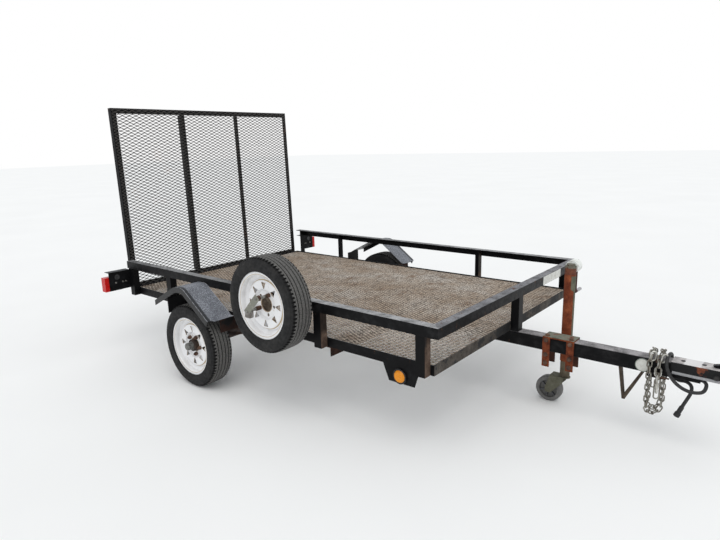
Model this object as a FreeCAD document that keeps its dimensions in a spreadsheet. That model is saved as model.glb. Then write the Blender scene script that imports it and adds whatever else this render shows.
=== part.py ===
# Single-axle utility trailer with a rear ramp gate, a swivel tongue jack and a side-mounted spare wheel.
# Frame: +X forward to the hitch, +Y to the left, +Z up, ground at Z = 0, millimetres.
# Lengths along X are counted from the rear end of the upper rails, across Y from the trailer's centre line.
import FreeCAD, Part
import Sketcher
import math
import os

SIZES = [
    ("leg", 50.8, "leg of the frame's angle bars"),
    ("wall", 4.8, "thickness of the frame's angle bars"),
    ("rail_height", 654, "top of the upper rails above the ground"),
    ("side_height", 248, "underside of the lower rails to the top of the upper rails"),
    ("top_width", 1740, "across the outer faces of the upper rails"),
    ("top_length", 2622, "rear end of the upper rails to the front rail's outer face"),
    ("floor_drop", 8, "floor mesh below the top edge of the lower rails"),
    ("mesh_thick", 3, "thickness of the expanded metal"),
    ("mesh_inset", 0.5, "floor mesh short of the rails"),
    ("mesh_open", 0.8, "share of a cell of the expanded metal that its opening spans each way"),
    ("post_rear", 58, "front face of the rear corner posts"),
    ("post_second", 544, "front face of the posts behind the fenders"),
    ("third_back", 705, "posts ahead of the fenders to the front rail's face"),
    ("front_back", 71, "front corner posts to the front rail's face"),
    ("front_post_side", -38, "right edge of the post in the middle of the front"),
    ("tongue_side", 76.2, "outer side of the square tongue tube"),
    ("tongue_wall", 4.8, "wall of the tongue tube"),
    ("tongue_round", 9, "outer corner radius of the tongue tube"),
    ("tongue_tail", 681, "rear end of the tongue tube behind the front rail's face"),
    ("tongue_reach", 868, "front end of the tongue tube ahead of the front rail's face"),
    ("coupler_lap", 123, "length of tongue under the coupler"),
    ("ball_ahead", 160, "centre of the ball socket ahead of the tongue tube"),
    ("ball_bore", 25.6, "radius of the ball socket"),
    ("ball_depth", 40, "depth of the ball socket's straight wall"),
    ("nose_radius", 39, "outer radius of the coupler's nose"),
    ("neck_back", 115, "neck of the coupler behind the ball socket"),
    ("coupler_wall", 4.5, "wall of the coupler"),
    ("coupler_depth", 53, "height of the coupler's sides"),
    ("coupler_fit", 0.3, "play between the coupler and the tongue"),
    ("latch_half", 11, "half width of the coupler's latch"),
    ("axle_place", 948, "axle ahead of the rear end"),
    ("axle_radius", 30, "radius of the axle tube"),
    ("spindle_radius", 15, "radius of the wheel spindles"),
    ("spindle_fit", 0.05, "running fit of the spindles, the pins and the jack tube"),
    ("spindle_back", 70, "shoulder of the spindles inside the wheel's centre plane"),
    ("tyre_radius", 257, "outer radius of the tyres"),
    ("tyre_half", 73.5, "half width of the tyres"),
    ("wheel_out", 88.5, "centre plane of the road wheels beyond the upper rails"),
    ("rim_radius", 180, "outer radius of the rim flanges"),
    ("seat_radius", 165, "radius of the rim's bead seat"),
    ("well_radius", 146, "radius of the rim's well"),
    ("rim_half", 61, "half width of the rims"),
    ("rim_wall", 4, "thickness of the rim's steel"),
    ("face_out", 22, "wheel disc's mounting face beyond the wheel's centre plane"),
    ("bulge_out", 34, "wheel disc's windows beyond the wheel's centre plane"),
    ("bore_radius", 40.5, "centre bore of the rims"),
    ("lug_circle", 57.15, "radius of the circle of the lug holes"),
    ("lug_radius", 8.5, "radius of the lug holes"),
    ("lug_angle", 64, "first lug hole above the forward direction, in degrees"),
    ("window_in", 84, "inner reach of the windows in the wheel disc"),
    ("window_out", 119, "outer reach of the windows in the wheel disc"),
    ("window_wide", 17, "half of a window's wide side"),
    ("window_tip", 3, "half of a window's narrow side"),
    ("hub_radius", 37, "radius of the hub drums"),
    ("hub_back", 66, "inner end of the hubs inside the wheel's centre plane"),
    ("hub_front", 44, "outer end of the hub drums beyond the wheel's centre plane"),
    ("cap_radius", 23, "radius of the grease caps"),
    ("cap_reach", 84, "end of the grease caps beyond the wheel's centre plane"),
    ("spring_reach", 330, "half length of the leaf springs"),
    ("spring_width", 44.5, "width of the leaf springs"),
    ("spring_inset", 28.2, "centre of the leaf springs inside the lower rails' faces"),
    ("spring_eye", 356, "height of the leaf springs' ends"),
    ("leaf_thick", 7, "thickness of one spring leaf"),
    ("hanger_half", 26, "half length of a spring hanger at its top"),
    ("hanger_foot", 14, "half length of a spring hanger at its foot"),
    ("seat_gap", 0.3, "play between pieces that rest on each other"),
    ("fender_back", 308, "rear end of the fenders behind the axle"),
    ("fender_ahead", 238, "front end of the fenders ahead of the axle"),
    ("fender_top", 626, "height of the fenders' tops"),
    ("fender_tail", 505, "height of the fenders' rear ends"),
    ("fender_tip", 461, "height of the fenders' front ends"),
    ("knee_back", 73, "rear bend of the fenders behind the axle"),
    ("knee_ahead", 10, "front bend of the fenders ahead of the axle"),
    ("fender_gap", 2, "inner edge of the fenders beyond the upper rails"),
    ("fender_width", 170, "width of the fenders"),
    ("fender_skin", 2.5, "thickness of the fenders"),
    ("fender_lip", 34, "depth of the fenders' outer skirts"),
    ("fender_toe", 26, "level toe at the fenders' front ends"),
    ("toe_notch", 30, "toe short of the fenders' outer edges"),
    ("stay_reach", 87, "fender brackets beyond the upper rails"),
    ("stay_rear", 105, "height of the rear fender brackets"),
    ("stay_front", 88, "height of the front fender brackets"),
    ("spare_back", 265, "centre of the spare wheel behind the posts ahead of the fenders"),
    ("spare_drop", 21, "centre of the spare wheel below the top of the upper rails"),
    ("spare_gap", 96, "centre plane of the spare wheel beyond the upper rails"),
    ("spare_plate", 8, "thickness of the spare wheel's mounting plate"),
    ("spare_arm", 20, "half side of the spare wheel's square arm"),
    ("stud_radius", 8, "radius of the spare wheel's studs"),
    ("stud_reach", 118, "end of the studs from the spare wheel's centre plane"),
    ("jack_ahead", 218, "jack axis ahead of the front rail's face"),
    ("jack_side", 85, "jack axis left of the centre line"),
    ("jack_radius", 29, "outer radius of the jack's outer tube"),
    ("jack_bore", 26, "bore of the jack's outer tube"),
    ("jack_low", 254, "lower end of the jack's outer tube"),
    ("jack_high", 736, "upper end of the jack's outer tube"),
    ("jack_wall", 3, "wall of the jack's inner tube"),
    ("jack_slack", 94, "inner tube's upper end below the outer tube's"),
    ("cap_rise", 20, "top of the jack's cap above the gear housing's axis"),
    ("drum_rise", 35, "axis of the gear housing above the jack's outer tube"),
    ("drum_radius", 34, "radius of the jack's gear housing"),
    ("drum_start", 15, "near end of the gear housing from the jack axis"),
    ("drum_end", 75, "far end of the gear housing from the jack axis"),
    ("crank_out", 12, "crank arm beyond the gear housing"),
    ("crank_reach", 150, "length of the jack's crank arm"),
    ("crank_radius", 6.5, "radius of the crank arm"),
    ("grip_radius", 9, "radius of the crank's grip and shaft"),
    ("grip_length", 80, "length of the crank's grip"),
    ("caster_radius", 72, "radius of the caster wheel"),
    ("caster_half", 22, "half width of the caster wheel"),
    ("caster_trail", 80, "caster axle behind the jack axis"),
    ("caster_pin", 8, "radius of the caster's pins"),
    ("caster_web", 6, "half thickness of the caster wheel's web"),
    ("fork_top", 160, "top of the caster fork's plate"),
    ("fork_gap", 4, "caster fork arm clear of the wheel"),
    ("fork_plate", 5, "thickness of the caster fork"),
    ("swivel_gap", 2, "caster fork below the jack's inner tube"),
    ("swivel_deep", 22, "depth of the swivel's bore"),
    ("gate_back", 34, "gate hinge behind the rear end of the upper rails"),
    ("hinge_rise", 18, "gate hinge above the underside of the lower rails"),
    ("gate_lean", 1.6, "lean of the upright gate to the rear, in degrees"),
    ("gate_height", 1300, "hinge to the top of the gate"),
    ("gate_inset", 50, "sides of the gate inside the upper rails' faces"),
    ("gate_leg", 38.1, "leg of the gate's angle bars"),
    ("gate_wall", 3.2, "thickness of the gate's angle bars"),
    ("gate_foot", 14, "hinge to the underside of the gate frame"),
    ("gate_margin", 4, "edge of the gate's mesh inside the gate frame's faces"),
    ("pin_radius", 8, "radius of the gate's hinge pins"),
    ("pin_over", 3, "hinge pins beyond their lugs"),
    ("hinge_inset", 220, "gate hinges inside the gate's sides"),
    ("hinge_plate", 8, "thickness of the hinge lugs"),
    ("hinge_play", 1, "side play between the hinge lugs"),
    ("lug_half", 14, "half width of the gate's hinge lugs"),
    ("lamp_drop", 60, "top of the tail lamp brackets below the upper rails' tops"),
    ("lamp_reach", 150, "outer edge of the tail lamp brackets beyond the upper rails"),
    ("lamp_over", 30, "tail lamps beyond their brackets"),
    ("lamp_face", 12, "front face of the tail lamp brackets"),
    ("shelf_deep", 58, "depth of the tail lamp brackets' shelf"),
    ("shelf_high", 132, "height of the tail lamp brackets"),
    ("lamp_high", 100, "height of the tail lamps"),
    ("lamp_deep", 50, "depth of the tail lamps"),
    ("lamp_length", 125, "length of the tail lamps"),
    ("lamp_below", 34, "tail lamps below the tops of their brackets"),
    ("bracket_wall", 3.2, "thickness of the lamp and fender brackets"),
    ("marker_back", 238, "centre of the side marker lamps behind the front rail's face"),
    ("marker_drop", 46, "centre of the side marker lamps below the lower rails"),
    ("marker_radius", 38, "radius of the side marker lamps' rings"),
    ("marker_deep", 9, "depth of the side marker lamps' rings"),
    ("lens_radius", 31, "radius of the side marker lenses"),
    ("lens_out", 17, "depth of the side marker lenses"),
    ("skid_drop", 173, "depth of the V-shaped bar under the tongue"),
    ("skid_half", 12, "half width of the V-shaped bar"),
    ("skid_back", 124, "front end of the V-shaped bar behind the coupler"),
    ("skid_span", 109, "length of the V-shaped bar at its top"),
    ("skid_bar", 14, "thickness of the V-shaped bar along the tongue"),
    ("clamp_plate", 7, "thickness of the jack's clamp plates"),
    ("clamp_half", 82, "half length of the jack's clamp"),
    ("strap_height", 160, "height of the jack's clamp straps"),
    ("strap_width", 38, "width of the jack's clamp straps"),
    ("clamp_below", 18, "jack's clamp plate below the tongue"),
    ("swivel_radius", 26, "radius of the jack's swivel boss"),
    ("chain_wire", 6, "thickness of the chain links"),
    ("chain_length", 30, "inner length of a chain link"),
    ("chain_play", 0.6, "play between two links in line"),
    ("chain_width", 15.6, "inner width of a chain link"),
    ("chain_back", 216, "rear hole of the chain anchor behind the tongue's front end"),
    ("chain_apart", 62, "from one hole of the chain anchor to the other"),
    ("chain_clear", 24, "hanging side of the chains beyond the tongue's side"),
    ("chain_sink", 28, "centre of the chains' arch below the tongue's top"),
    ("chain_drop", 198, "depth of the chains' loops under the tongue"),
    ("chain_tail", 60, "straight end of the chains below the arch"),
    ("hook_length", 96, "inner length of the long end links"),
    ("anchor_drop", 30, "depth of the chain anchor under the tongue"),
    ("anchor_hole", 16, "chain anchor's holes under the tongue"),
    ("eye_radius", 7.5, "radius of the chain anchor's holes"),
    ("anchor_half", 3, "half thickness of the chain anchor"),
    ("anchor_edge", 13, "end of the chain anchor beyond its holes"),
    ("cord_radius", 8, "radius of the lamp wiring"),
    ("plug_radius", 11, "radius of the plug's grip"),
    ("plug_grip", 34, "length of the plug's grip"),
    ("plug_face", 14, "radius of the plug's face"),
    ("plug_nose", 20, "length of the plug's face end"),
]


class Size:
    """A length or an angle: the sheet's formula beside its present value."""

    def __init__(self, text, value):
        self.text = text
        self.value = float(value)

    def _with(self, other, sign, value, swap=False):
        other = as_size(other)
        first, second = (other, self) if swap else (self, other)
        return Size("(%s %s %s)" % (first.text, sign, second.text), value(first.value, second.value))

    def __add__(self, other):
        return self._with(other, "+", lambda a, b: a + b)

    def __radd__(self, other):
        return self._with(other, "+", lambda a, b: a + b, True)

    def __sub__(self, other):
        return self._with(other, "-", lambda a, b: a - b)

    def __rsub__(self, other):
        return self._with(other, "-", lambda a, b: a - b, True)

    def __mul__(self, other):
        return self._with(other, "*", lambda a, b: a * b)

    def __rmul__(self, other):
        return self._with(other, "*", lambda a, b: a * b, True)

    def __truediv__(self, other):
        return self._with(other, "/", lambda a, b: a / b)

    def __neg__(self):
        return Size("(0 - %s)" % self.text, -self.value)


def as_size(number):
    return number if isinstance(number, Size) else Size("%.9g" % number, number)


def cosine(angle):
    return Size("cos(%s * 1 deg)" % angle.text, math.cos(math.radians(angle.value)))


def sine(angle):
    return Size("sin(%s * 1 deg)" % angle.text, math.sin(math.radians(angle.value)))


class Sheet:
    """The sizes by name, each bound to its cell of the spreadsheet."""

    def __init__(self, doc):
        cells = doc.addObject("Spreadsheet::Sheet", "Sizes")
        for row, (name, value, meaning) in enumerate(SIZES, start=1):
            cells.set("A%d" % row, name)
            cells.set("B%d" % row, "%g" % value)
            cells.set("C%d" % row, meaning)
            cells.setAlias("B%d" % row, name)
            setattr(self, name, Size("Sizes.%s" % name, value))


def bind(thing, path, size):
    thing.setExpression(path, as_size(size).text)


doc = FreeCAD.newDocument("UtilityTrailer")
s = Sheet(doc)
doc.recompute()
nodes = []

SIDES = (("right", -1), ("left", 1))
half_top = s.top_width / 2
half_lower = half_top - s.leg
lower_length = s.top_length - s.leg
lower_bottom = s.rail_height - s.side_height
lower_top = lower_bottom + s.leg
floor_top = lower_top - s.floor_drop
post_third = s.top_length - s.third_back
post_front = s.top_length - s.front_back
tongue_half = s.tongue_side / 2
tongue_bottom = lower_bottom - s.tongue_side
tongue_rear = s.top_length - s.tongue_tail
tongue_front = s.top_length + s.tongue_reach
coupler_rear = tongue_front - s.coupler_lap
coupler_top = lower_bottom + s.coupler_fit + s.coupler_wall
ball_place = tongue_front + s.ball_ahead
neck = ball_place - s.neck_back
nose_end = ball_place + s.nose_radius
wheel_place = half_top + s.wheel_out
spring_place = half_lower - s.spring_inset
fender_rear = s.axle_place - s.fender_back
fender_front = s.axle_place + s.fender_ahead
fender_inner = half_top + s.fender_gap
spare_place = post_third - s.spare_back
spare_height = s.rail_height - s.spare_drop
spare_out = half_top + s.spare_gap
jack_place = s.top_length + s.jack_ahead
gate_half = half_top - s.gate_inset
gate_hinge = lower_bottom + s.hinge_rise
hinge_place = gate_half - s.hinge_inset
lamp_top = s.rail_height - s.lamp_drop
lamp_out = half_top + s.lamp_reach
marker_place = s.top_length - s.marker_back
marker_height = lower_bottom - s.marker_drop
chain_place = tongue_front - s.chain_back
chain_side = tongue_half + s.chain_clear
gate_reach = s.gate_back + s.gate_leg * cosine(s.gate_lean) + s.gate_height * sine(s.gate_lean)
right_reach = spare_out + s.stud_reach
left_reach = lamp_out + s.lamp_over
origin_x = (gate_reach - nose_end) / 2
origin_y = (right_reach - left_reach) / 2


def place(thing, x=0, y=0, z=0):
    """Put an object at a point counted from the rear end, the centre line and the ground."""
    bind(thing, "Placement.Base.x", origin_x + x)
    bind(thing, "Placement.Base.y", origin_y + y)
    bind(thing, "Placement.Base.z", as_size(z))


def corner(before, point, after, radius):
    """The two tangent points and the centre of a round at a corner."""
    ax, ay = before[0] - point[0], before[1] - point[1]
    bx, by = after[0] - point[0], after[1] - point[1]
    la, lb = math.hypot(ax, ay), math.hypot(bx, by)
    ax, ay, bx, by = ax / la, ay / la, bx / lb, by / lb
    half = math.acos(max(-1.0, min(1.0, ax * bx + ay * by))) / 2
    run = radius / math.tan(half)
    mx, my = ax + bx, ay + by
    ml = math.hypot(mx, my)
    reach = radius / math.sin(half)
    return ((point[0] + ax * run, point[1] + ay * run), (point[0] + bx * run, point[1] + by * run),
            (point[0] + mx / ml * reach, point[1] + my / ml * reach), ax * by - ay * bx)


def pin_point(sketch, geometry, position, x, y):
    """Hold a point of the sketch at named distances from its origin."""
    for kind, size in (("DistanceX", x), ("DistanceY", y)):
        size = as_size(size)
        index = sketch.addConstraint(Sketcher.Constraint(kind, -1, 1, geometry, position, size.value))
        bind(sketch, "Constraints[%d]" % index, size)


def draw_circle(sketch, x, y, radius):
    x, y, radius = as_size(x), as_size(y), as_size(radius)
    centre = FreeCAD.Vector(x.value, y.value, 0)
    index = sketch.addGeometry(Part.Circle(centre, FreeCAD.Vector(0, 0, 1), radius.value), False)
    pin_point(sketch, index, 3, x, y)
    hold = sketch.addConstraint(Sketcher.Constraint("Radius", index, radius.value))
    bind(sketch, "Constraints[%d]" % hold, radius)


def draw_outline(sketch, points):
    """A closed outline through points (x, y) or (x, y, radius of the round there)."""
    points = [tuple(as_size(v) for v in (tuple(p) + (0,))[:3]) for p in points]
    flat = [(p[0].value, p[1].value) for p in points]
    count = len(points)
    ends = []
    for i, (x, y, radius) in enumerate(points):
        if radius.value > 0:
            ends.append(corner(flat[i - 1], flat[i], flat[(i + 1) % count], radius.value))
        else:
            ends.append((flat[i], flat[i], None, 0))
    lines = []
    for i in range(count):
        start, stop = ends[i][1], ends[(i + 1) % count][0]
        lines.append(sketch.addGeometry(Part.LineSegment(FreeCAD.Vector(start[0], start[1], 0),
                                                         FreeCAD.Vector(stop[0], stop[1], 0)), False))
    for i, (x, y, radius) in enumerate(points):
        before, after = lines[i - 1], lines[i]
        if radius.value <= 0:
            sketch.addConstraint(Sketcher.Constraint("Coincident", before, 2, after, 1))
            pin_point(sketch, after, 1, x, y)
            continue
        first, second, centre, turn = ends[i]
        if turn > 0:
            first, second = second, first
        begin = math.atan2(first[1] - centre[1], first[0] - centre[0])
        finish = math.atan2(second[1] - centre[1], second[0] - centre[0])
        circle = Part.Circle(FreeCAD.Vector(centre[0], centre[1], 0), FreeCAD.Vector(0, 0, 1), radius.value)
        arc = sketch.addGeometry(Part.ArcOfCircle(circle, begin, finish), False)
        tip = sketch.addGeometry(Part.Point(FreeCAD.Vector(flat[i][0], flat[i][1], 0)), True)
        pin_point(sketch, tip, 1, x, y)
        sketch.addConstraint(Sketcher.Constraint("PointOnObject", tip, 1, before))
        sketch.addConstraint(Sketcher.Constraint("PointOnObject", tip, 1, after))
        sketch.addConstraint(Sketcher.Constraint("Tangent", before, 2, arc, 2 if turn > 0 else 1))
        sketch.addConstraint(Sketcher.Constraint("Tangent", after, 1, arc, 1 if turn > 0 else 2))
        hold = sketch.addConstraint(Sketcher.Constraint("Radius", arc, radius.value))
        bind(sketch, "Constraints[%d]" % hold, radius)


def new_sketch(body, plane, start=0):
    """A sketch on one of the body's own planes, moved along +X, +Y or +Z by start."""
    sketch = body.newObject("Sketcher::SketchObject", body.Name + "_sketch")
    face = [f for f in body.Origin.OriginFeatures if f.Role == plane + "_Plane"][0]
    sketch.AttachmentSupport = [(face, "")]
    sketch.MapMode = "FlatFace"
    start = as_size(start)
    bind(sketch, "AttachmentOffset.Base.z", -start if plane == "XZ" else start)
    return sketch


def new_body(name, x=0, y=0, z=0):
    body = doc.addObject("PartDesign::Body", name)
    body.AllowCompound = True
    place(body, x, y, z)
    return body


def pad(body, plane, outlines, start, length, down=False):
    """A pad of the outlines from start, along +X, +Y or +Z, or the other way when down."""
    sketch = new_sketch(body, plane, start)
    for outline in outlines:
        draw_outline(sketch, outline)
    feature = body.newObject("PartDesign::Pad", body.Name + "_pad")
    feature.Profile = sketch
    bind(feature, "Length", length)
    feature.Reversed = (plane == "XZ") != down
    return feature


def cut_circles(body, plane, circles, start, length, down=False):
    """Round holes (x, y, radius) cut from start, along +X, +Y or +Z, or the other way when down."""
    sketch = new_sketch(body, plane, start)
    for x, y, radius in circles:
        draw_circle(sketch, x, y, radius)
    return pocket(body, sketch, plane, length, down)


def cut_outlines(body, plane, outlines, start, length, down=False):
    sketch = new_sketch(body, plane, start)
    for outline in outlines:
        draw_outline(sketch, outline)
    return pocket(body, sketch, plane, length, down)


def pocket(body, sketch, plane, length, down):
    feature = body.newObject("PartDesign::Pocket", body.Name + "_pocket")
    feature.Profile = sketch
    bind(feature, "Length", length)
    feature.Reversed = (plane == "XZ") == down
    return feature


def pad_circles(body, plane, circles, start, length, down=False):
    sketch = new_sketch(body, plane, start)
    for x, y, radius in circles:
        draw_circle(sketch, x, y, radius)
    feature = body.newObject("PartDesign::Pad", body.Name + "_pad")
    feature.Profile = sketch
    bind(feature, "Length", length)
    feature.Reversed = (plane == "XZ") != down
    return feature


def turn(body, outlines, groove=False):
    """Outlines of (radius, distance along Y) turned about the body's Y axis."""
    sketch = new_sketch(body, "XY")
    for outline in outlines:
        draw_outline(sketch, outline)
    kind = "PartDesign::Groove" if groove else "PartDesign::Revolution"
    feature = body.newObject(kind, body.Name + "_turn")
    feature.Profile = sketch
    feature.ReferenceAxis = (sketch, ["V_Axis"])
    feature.Angle = 360
    return feature


def repeat_about_y(body, feature, count):
    """Copies of a feature, evenly about the body's Y axis."""
    pattern = body.newObject("PartDesign::PolarPattern", body.Name + "_ring")
    pattern.Originals = [feature]
    axis = [f for f in body.Origin.OriginFeatures if f.Role == "Y_Axis"][0]
    pattern.Axis = (axis, [""])
    pattern.Angle = 360
    pattern.Occurrences = count
    body.Tip = pattern
    return pattern


def node(label, thing):
    thing.Label = label
    nodes.append((label, thing))
    return thing


def facing(points, sign):
    """An outline, or its mirror image across its first axis."""
    return [(p[0], sign * p[1]) + tuple(p[2:]) for p in points]


def rectangle(x0, x1, y0, y1):
    return [(x0, y0), (x1, y0), (x1, y1), (x0, y1)]


def rail(body, outline_of, start, down=False):
    """An angle rail: its flat leg and its upright leg, each an outline with mitred ends."""
    pad(body, "XY", [outline_of(s.leg)], start, s.wall, down)
    pad(body, "XY", [outline_of(s.wall)], start, s.leg, down)


def lower_frame():
    for side, sign in SIDES:
        def outline(depth, sign=sign):
            return [(0, sign * half_lower), (lower_length, sign * half_lower),
                    (lower_length - depth, sign * (half_lower - depth)), (depth, sign * (half_lower - depth))]
        body = new_body("LowerRail_" + side)
        rail(body, outline, lower_bottom)
        node("lower_rail_" + side, body)
    for end, place_x, inward in (("rear", as_size(0), 1), ("front", lower_length, -1)):
        def outline(depth, place_x=place_x, inward=inward):
            return [(place_x, -half_lower), (place_x + inward * depth, depth - half_lower),
                    (place_x + inward * depth, half_lower - depth), (place_x, half_lower)]
        body = new_body("LowerRail_" + end)
        rail(body, outline, lower_bottom)
        node("lower_rail_" + end, body)


def open_mesh(body, plane, first, second, columns, rows, start):
    """Diamond openings in staggered rows through a mesh that spans first and second on the body's plane."""
    pitch = (first[1] - first[0]) / columns
    step = (second[1] - second[0]) / (rows + 1)
    long, high = pitch * s.mesh_open / 2, step * s.mesh_open
    for count, shift in ((columns, 0.5), (columns - 1, 1)):
        y = second[0] + step * (1 if count == columns else 2)
        diamonds = []
        for number in range(count):
            x = first[0] + pitch * (number + shift)
            diamonds.append([(x - long, y), (x, y - high), (x + long, y), (x, y + high)])
        row = cut_outlines(body, plane, diamonds, start, s.mesh_thick)
        pattern = body.newObject("PartDesign::LinearPattern", body.Name + "_rows")
        pattern.Originals = [row]
        pattern.Direction = (row.Profile[0], ["V_Axis"])
        bind(pattern, "Length", step * (rows - 2))
        pattern.Occurrences = rows // 2
        body.Tip = pattern


def floor():
    """Bearers on the flat legs of the rails, and the mesh on the bearers."""
    under = floor_top - s.mesh_thick
    seat = lower_bottom + s.wall
    wide = under - seat
    body = new_body("FloorBearers")
    outlines = []
    for number in (1, 2, 3):
        x = lower_length * number / 4
        outlines.append([(x, seat), (x, under), (x + wide, under), (x + wide, under - s.wall),
                         (x + s.wall, under - s.wall), (x + s.wall, seat)])
    reach = half_lower - s.wall
    pad(body, "XZ", outlines, -reach, 2 * reach)
    node("floor_bearers", body)
    body = new_body("FloorMesh")
    inset = s.wall + s.mesh_inset
    half = half_lower - inset
    pad(body, "XY", [rectangle(inset, lower_length - inset, -half, half)], under, s.mesh_thick)
    open_mesh(body, "XY", (inset, lower_length - inset), (-half, half), 12, 12, under)
    node("floor_mesh", body)


def upper_frame():
    for side, sign in SIDES:
        def outline(depth, sign=sign):
            return [(0, sign * half_top), (s.top_length, sign * half_top),
                    (s.top_length - depth, sign * (half_top - depth)), (0, sign * (half_top - depth))]
        body = new_body("UpperRail_" + side)
        rail(body, outline, s.rail_height, True)
        node("upper_rail_" + side, body)

    def front(depth):
        return [(s.top_length, -half_top), (s.top_length - depth, depth - half_top),
                (s.top_length - depth, half_top - depth), (s.top_length, half_top)]
    body = new_body("UpperRail_front")
    rail(body, front, s.rail_height, True)
    node("upper_rail_front", body)


def posts():
    """Angle posts outside the lower rails and behind the upright legs of the upper rails."""
    height = s.side_height - s.wall
    for side, sign in SIDES:
        outer = sign * (half_top - s.wall)
        inner = sign * half_lower
        outlines = []
        for x in (s.post_rear, s.post_second, post_third, post_front):
            outlines.append([(x - s.leg, outer), (x, outer), (x, inner), (x - s.wall, inner),
                             (x - s.wall, outer - sign * s.wall), (x - s.leg, outer - sign * s.wall)])
        body = new_body("Posts_" + side)
        pad(body, "XY", outlines, lower_bottom, height)
        node("posts_" + side, body)
    outer = s.top_length - s.wall
    side_y = s.front_post_side
    body = new_body("Post_front")
    pad(body, "XY", [[(lower_length, side_y), (outer, side_y), (outer, side_y + s.leg),
                      (outer - s.wall, side_y + s.leg), (outer - s.wall, side_y + s.wall),
                      (lower_length, side_y + s.wall)]], lower_bottom, height)
    node("post_front", body)


def tongue():
    body = new_body("Tongue")
    inner = tongue_half - s.tongue_wall
    inner_round = s.tongue_round - s.tongue_wall
    sketch = new_sketch(body, "YZ", tongue_rear)
    for half, bottom, top, radius in ((tongue_half, tongue_bottom, lower_bottom, s.tongue_round),
                                      (inner, tongue_bottom + s.tongue_wall, lower_bottom - s.tongue_wall,
                                       inner_round)):
        draw_outline(sketch, [(-half, bottom, radius), (half, bottom, radius),
                              (half, top, radius), (-half, top, radius)])
    feature = body.newObject("PartDesign::Pad", "Tongue_pad")
    feature.Profile = sketch
    bind(feature, "Length", tongue_front - tongue_rear)
    node("tongue", body)

    body = new_body("TongueBearer")
    x = tongue_rear
    pad(body, "XZ", [[(x - s.leg, lower_bottom), (x, lower_bottom), (x, lower_bottom - s.leg),
                      (x - s.wall, lower_bottom - s.leg), (x - s.wall, lower_bottom - s.wall),
                      (x - s.leg, lower_bottom - s.wall)]], -half_lower, 2 * half_lower)
    node("tongue_bearer", body)

    body = new_body("TongueSkid")
    front = coupler_rear - s.skid_back
    rear = front - s.skid_span
    bar = s.skid_bar
    tip = (front + rear) / 2 - 2 * bar
    low = tongue_bottom - s.skid_drop
    pad(body, "XZ", [[(rear, tongue_bottom), (tip, low), (tip + bar, low), (front + bar, tongue_bottom),
                      (front, tongue_bottom), (tip + bar / 2, low + 2 * bar), (rear + bar, tongue_bottom)]],
        -s.skid_half, 2 * s.skid_half)
    node("tongue_skid", body)


def coupler():
    """A pressed channel over the tongue's end, with the ball socket in its nose."""
    low = coupler_top - s.coupler_depth
    inside = tongue_half + s.coupler_fit
    half = inside + s.coupler_wall
    tip_half = s.nose_radius / 4
    body = new_body("Coupler")
    pad(body, "XY", [[(coupler_rear, -half), (neck, -half), (nose_end - 8, -s.nose_radius, 24),
                      (nose_end, -tip_half, 10), (nose_end, tip_half, 10), (nose_end - 8, s.nose_radius, 24),
                      (neck, half), (coupler_rear, half)]], low, s.coupler_depth)
    cut_outlines(body, "XY", [rectangle(coupler_rear, neck, -inside, inside)],
                 low, s.coupler_depth - s.coupler_wall)
    cut_circles(body, "XY", [(ball_place, 0, s.ball_bore)], low, s.ball_depth)
    node("coupler", body)

    body = new_body("CouplerLatch")
    rear, front, top = neck + 2, ball_place + 13, coupler_top
    pad(body, "XZ", [[(rear, top), (rear + 38, top), (rear + 50, top + 14), (front, top + 18),
                      (front, top + 23), (rear + 28, top + 21), (rear - 8, top + 10)]],
        -s.latch_half, 2 * s.latch_half)
    node("coupler_latch", body)


def axle():
    body = new_body("Axle", s.axle_place, 0, s.tyre_radius)
    reach = wheel_place + s.face_out
    shoulder = wheel_place - s.spindle_back
    thin, thick = s.spindle_radius, s.axle_radius
    turn(body, [[(0, -reach), (thin, -reach), (thin, -shoulder), (thick, -shoulder),
                 (thick, shoulder), (thin, shoulder), (thin, reach), (0, reach)]])
    node("axle", body)

    low = s.tyre_radius + s.axle_radius + s.seat_gap
    eye, mid, thick = s.spring_eye, s.axle_place, s.leaf_thick
    rear, front = mid - s.spring_reach, mid + s.spring_reach
    far, near, flat = s.spring_reach * 0.64, s.spring_reach * 0.45, s.spring_reach * 0.18
    outline = [(rear, eye), (rear, eye - thick), (mid - far, low + thick * 4), (mid - near, low + thick * 2),
               (mid - flat, low), (mid + flat, low), (mid + near, low + thick * 2),
               (mid + far, low + thick * 4), (front, eye - thick), (front, eye),
               (mid + near, low + thick * 5), (mid, low + thick * 3), (mid - near, low + thick * 5)]
    body = new_body("LeafSprings")
    for sign in (-1, 1):
        pad(body, "XZ", [outline], sign * spring_place - s.spring_width / 2, s.spring_width)
    node("leaf_springs", body)

    body = new_body("SpringHangers")
    foot = eye + s.seat_gap
    top, half = s.hanger_half, s.hanger_foot
    for sign in (-1, 1):
        outlines = [[(x - top, lower_bottom), (x - half, foot), (x + half, foot), (x + top, lower_bottom)]
                    for x in (rear, front)]
        pad(body, "XZ", outlines, sign * spring_place - s.spring_width / 2, s.spring_width)
    node("spring_hangers", body)


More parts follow.
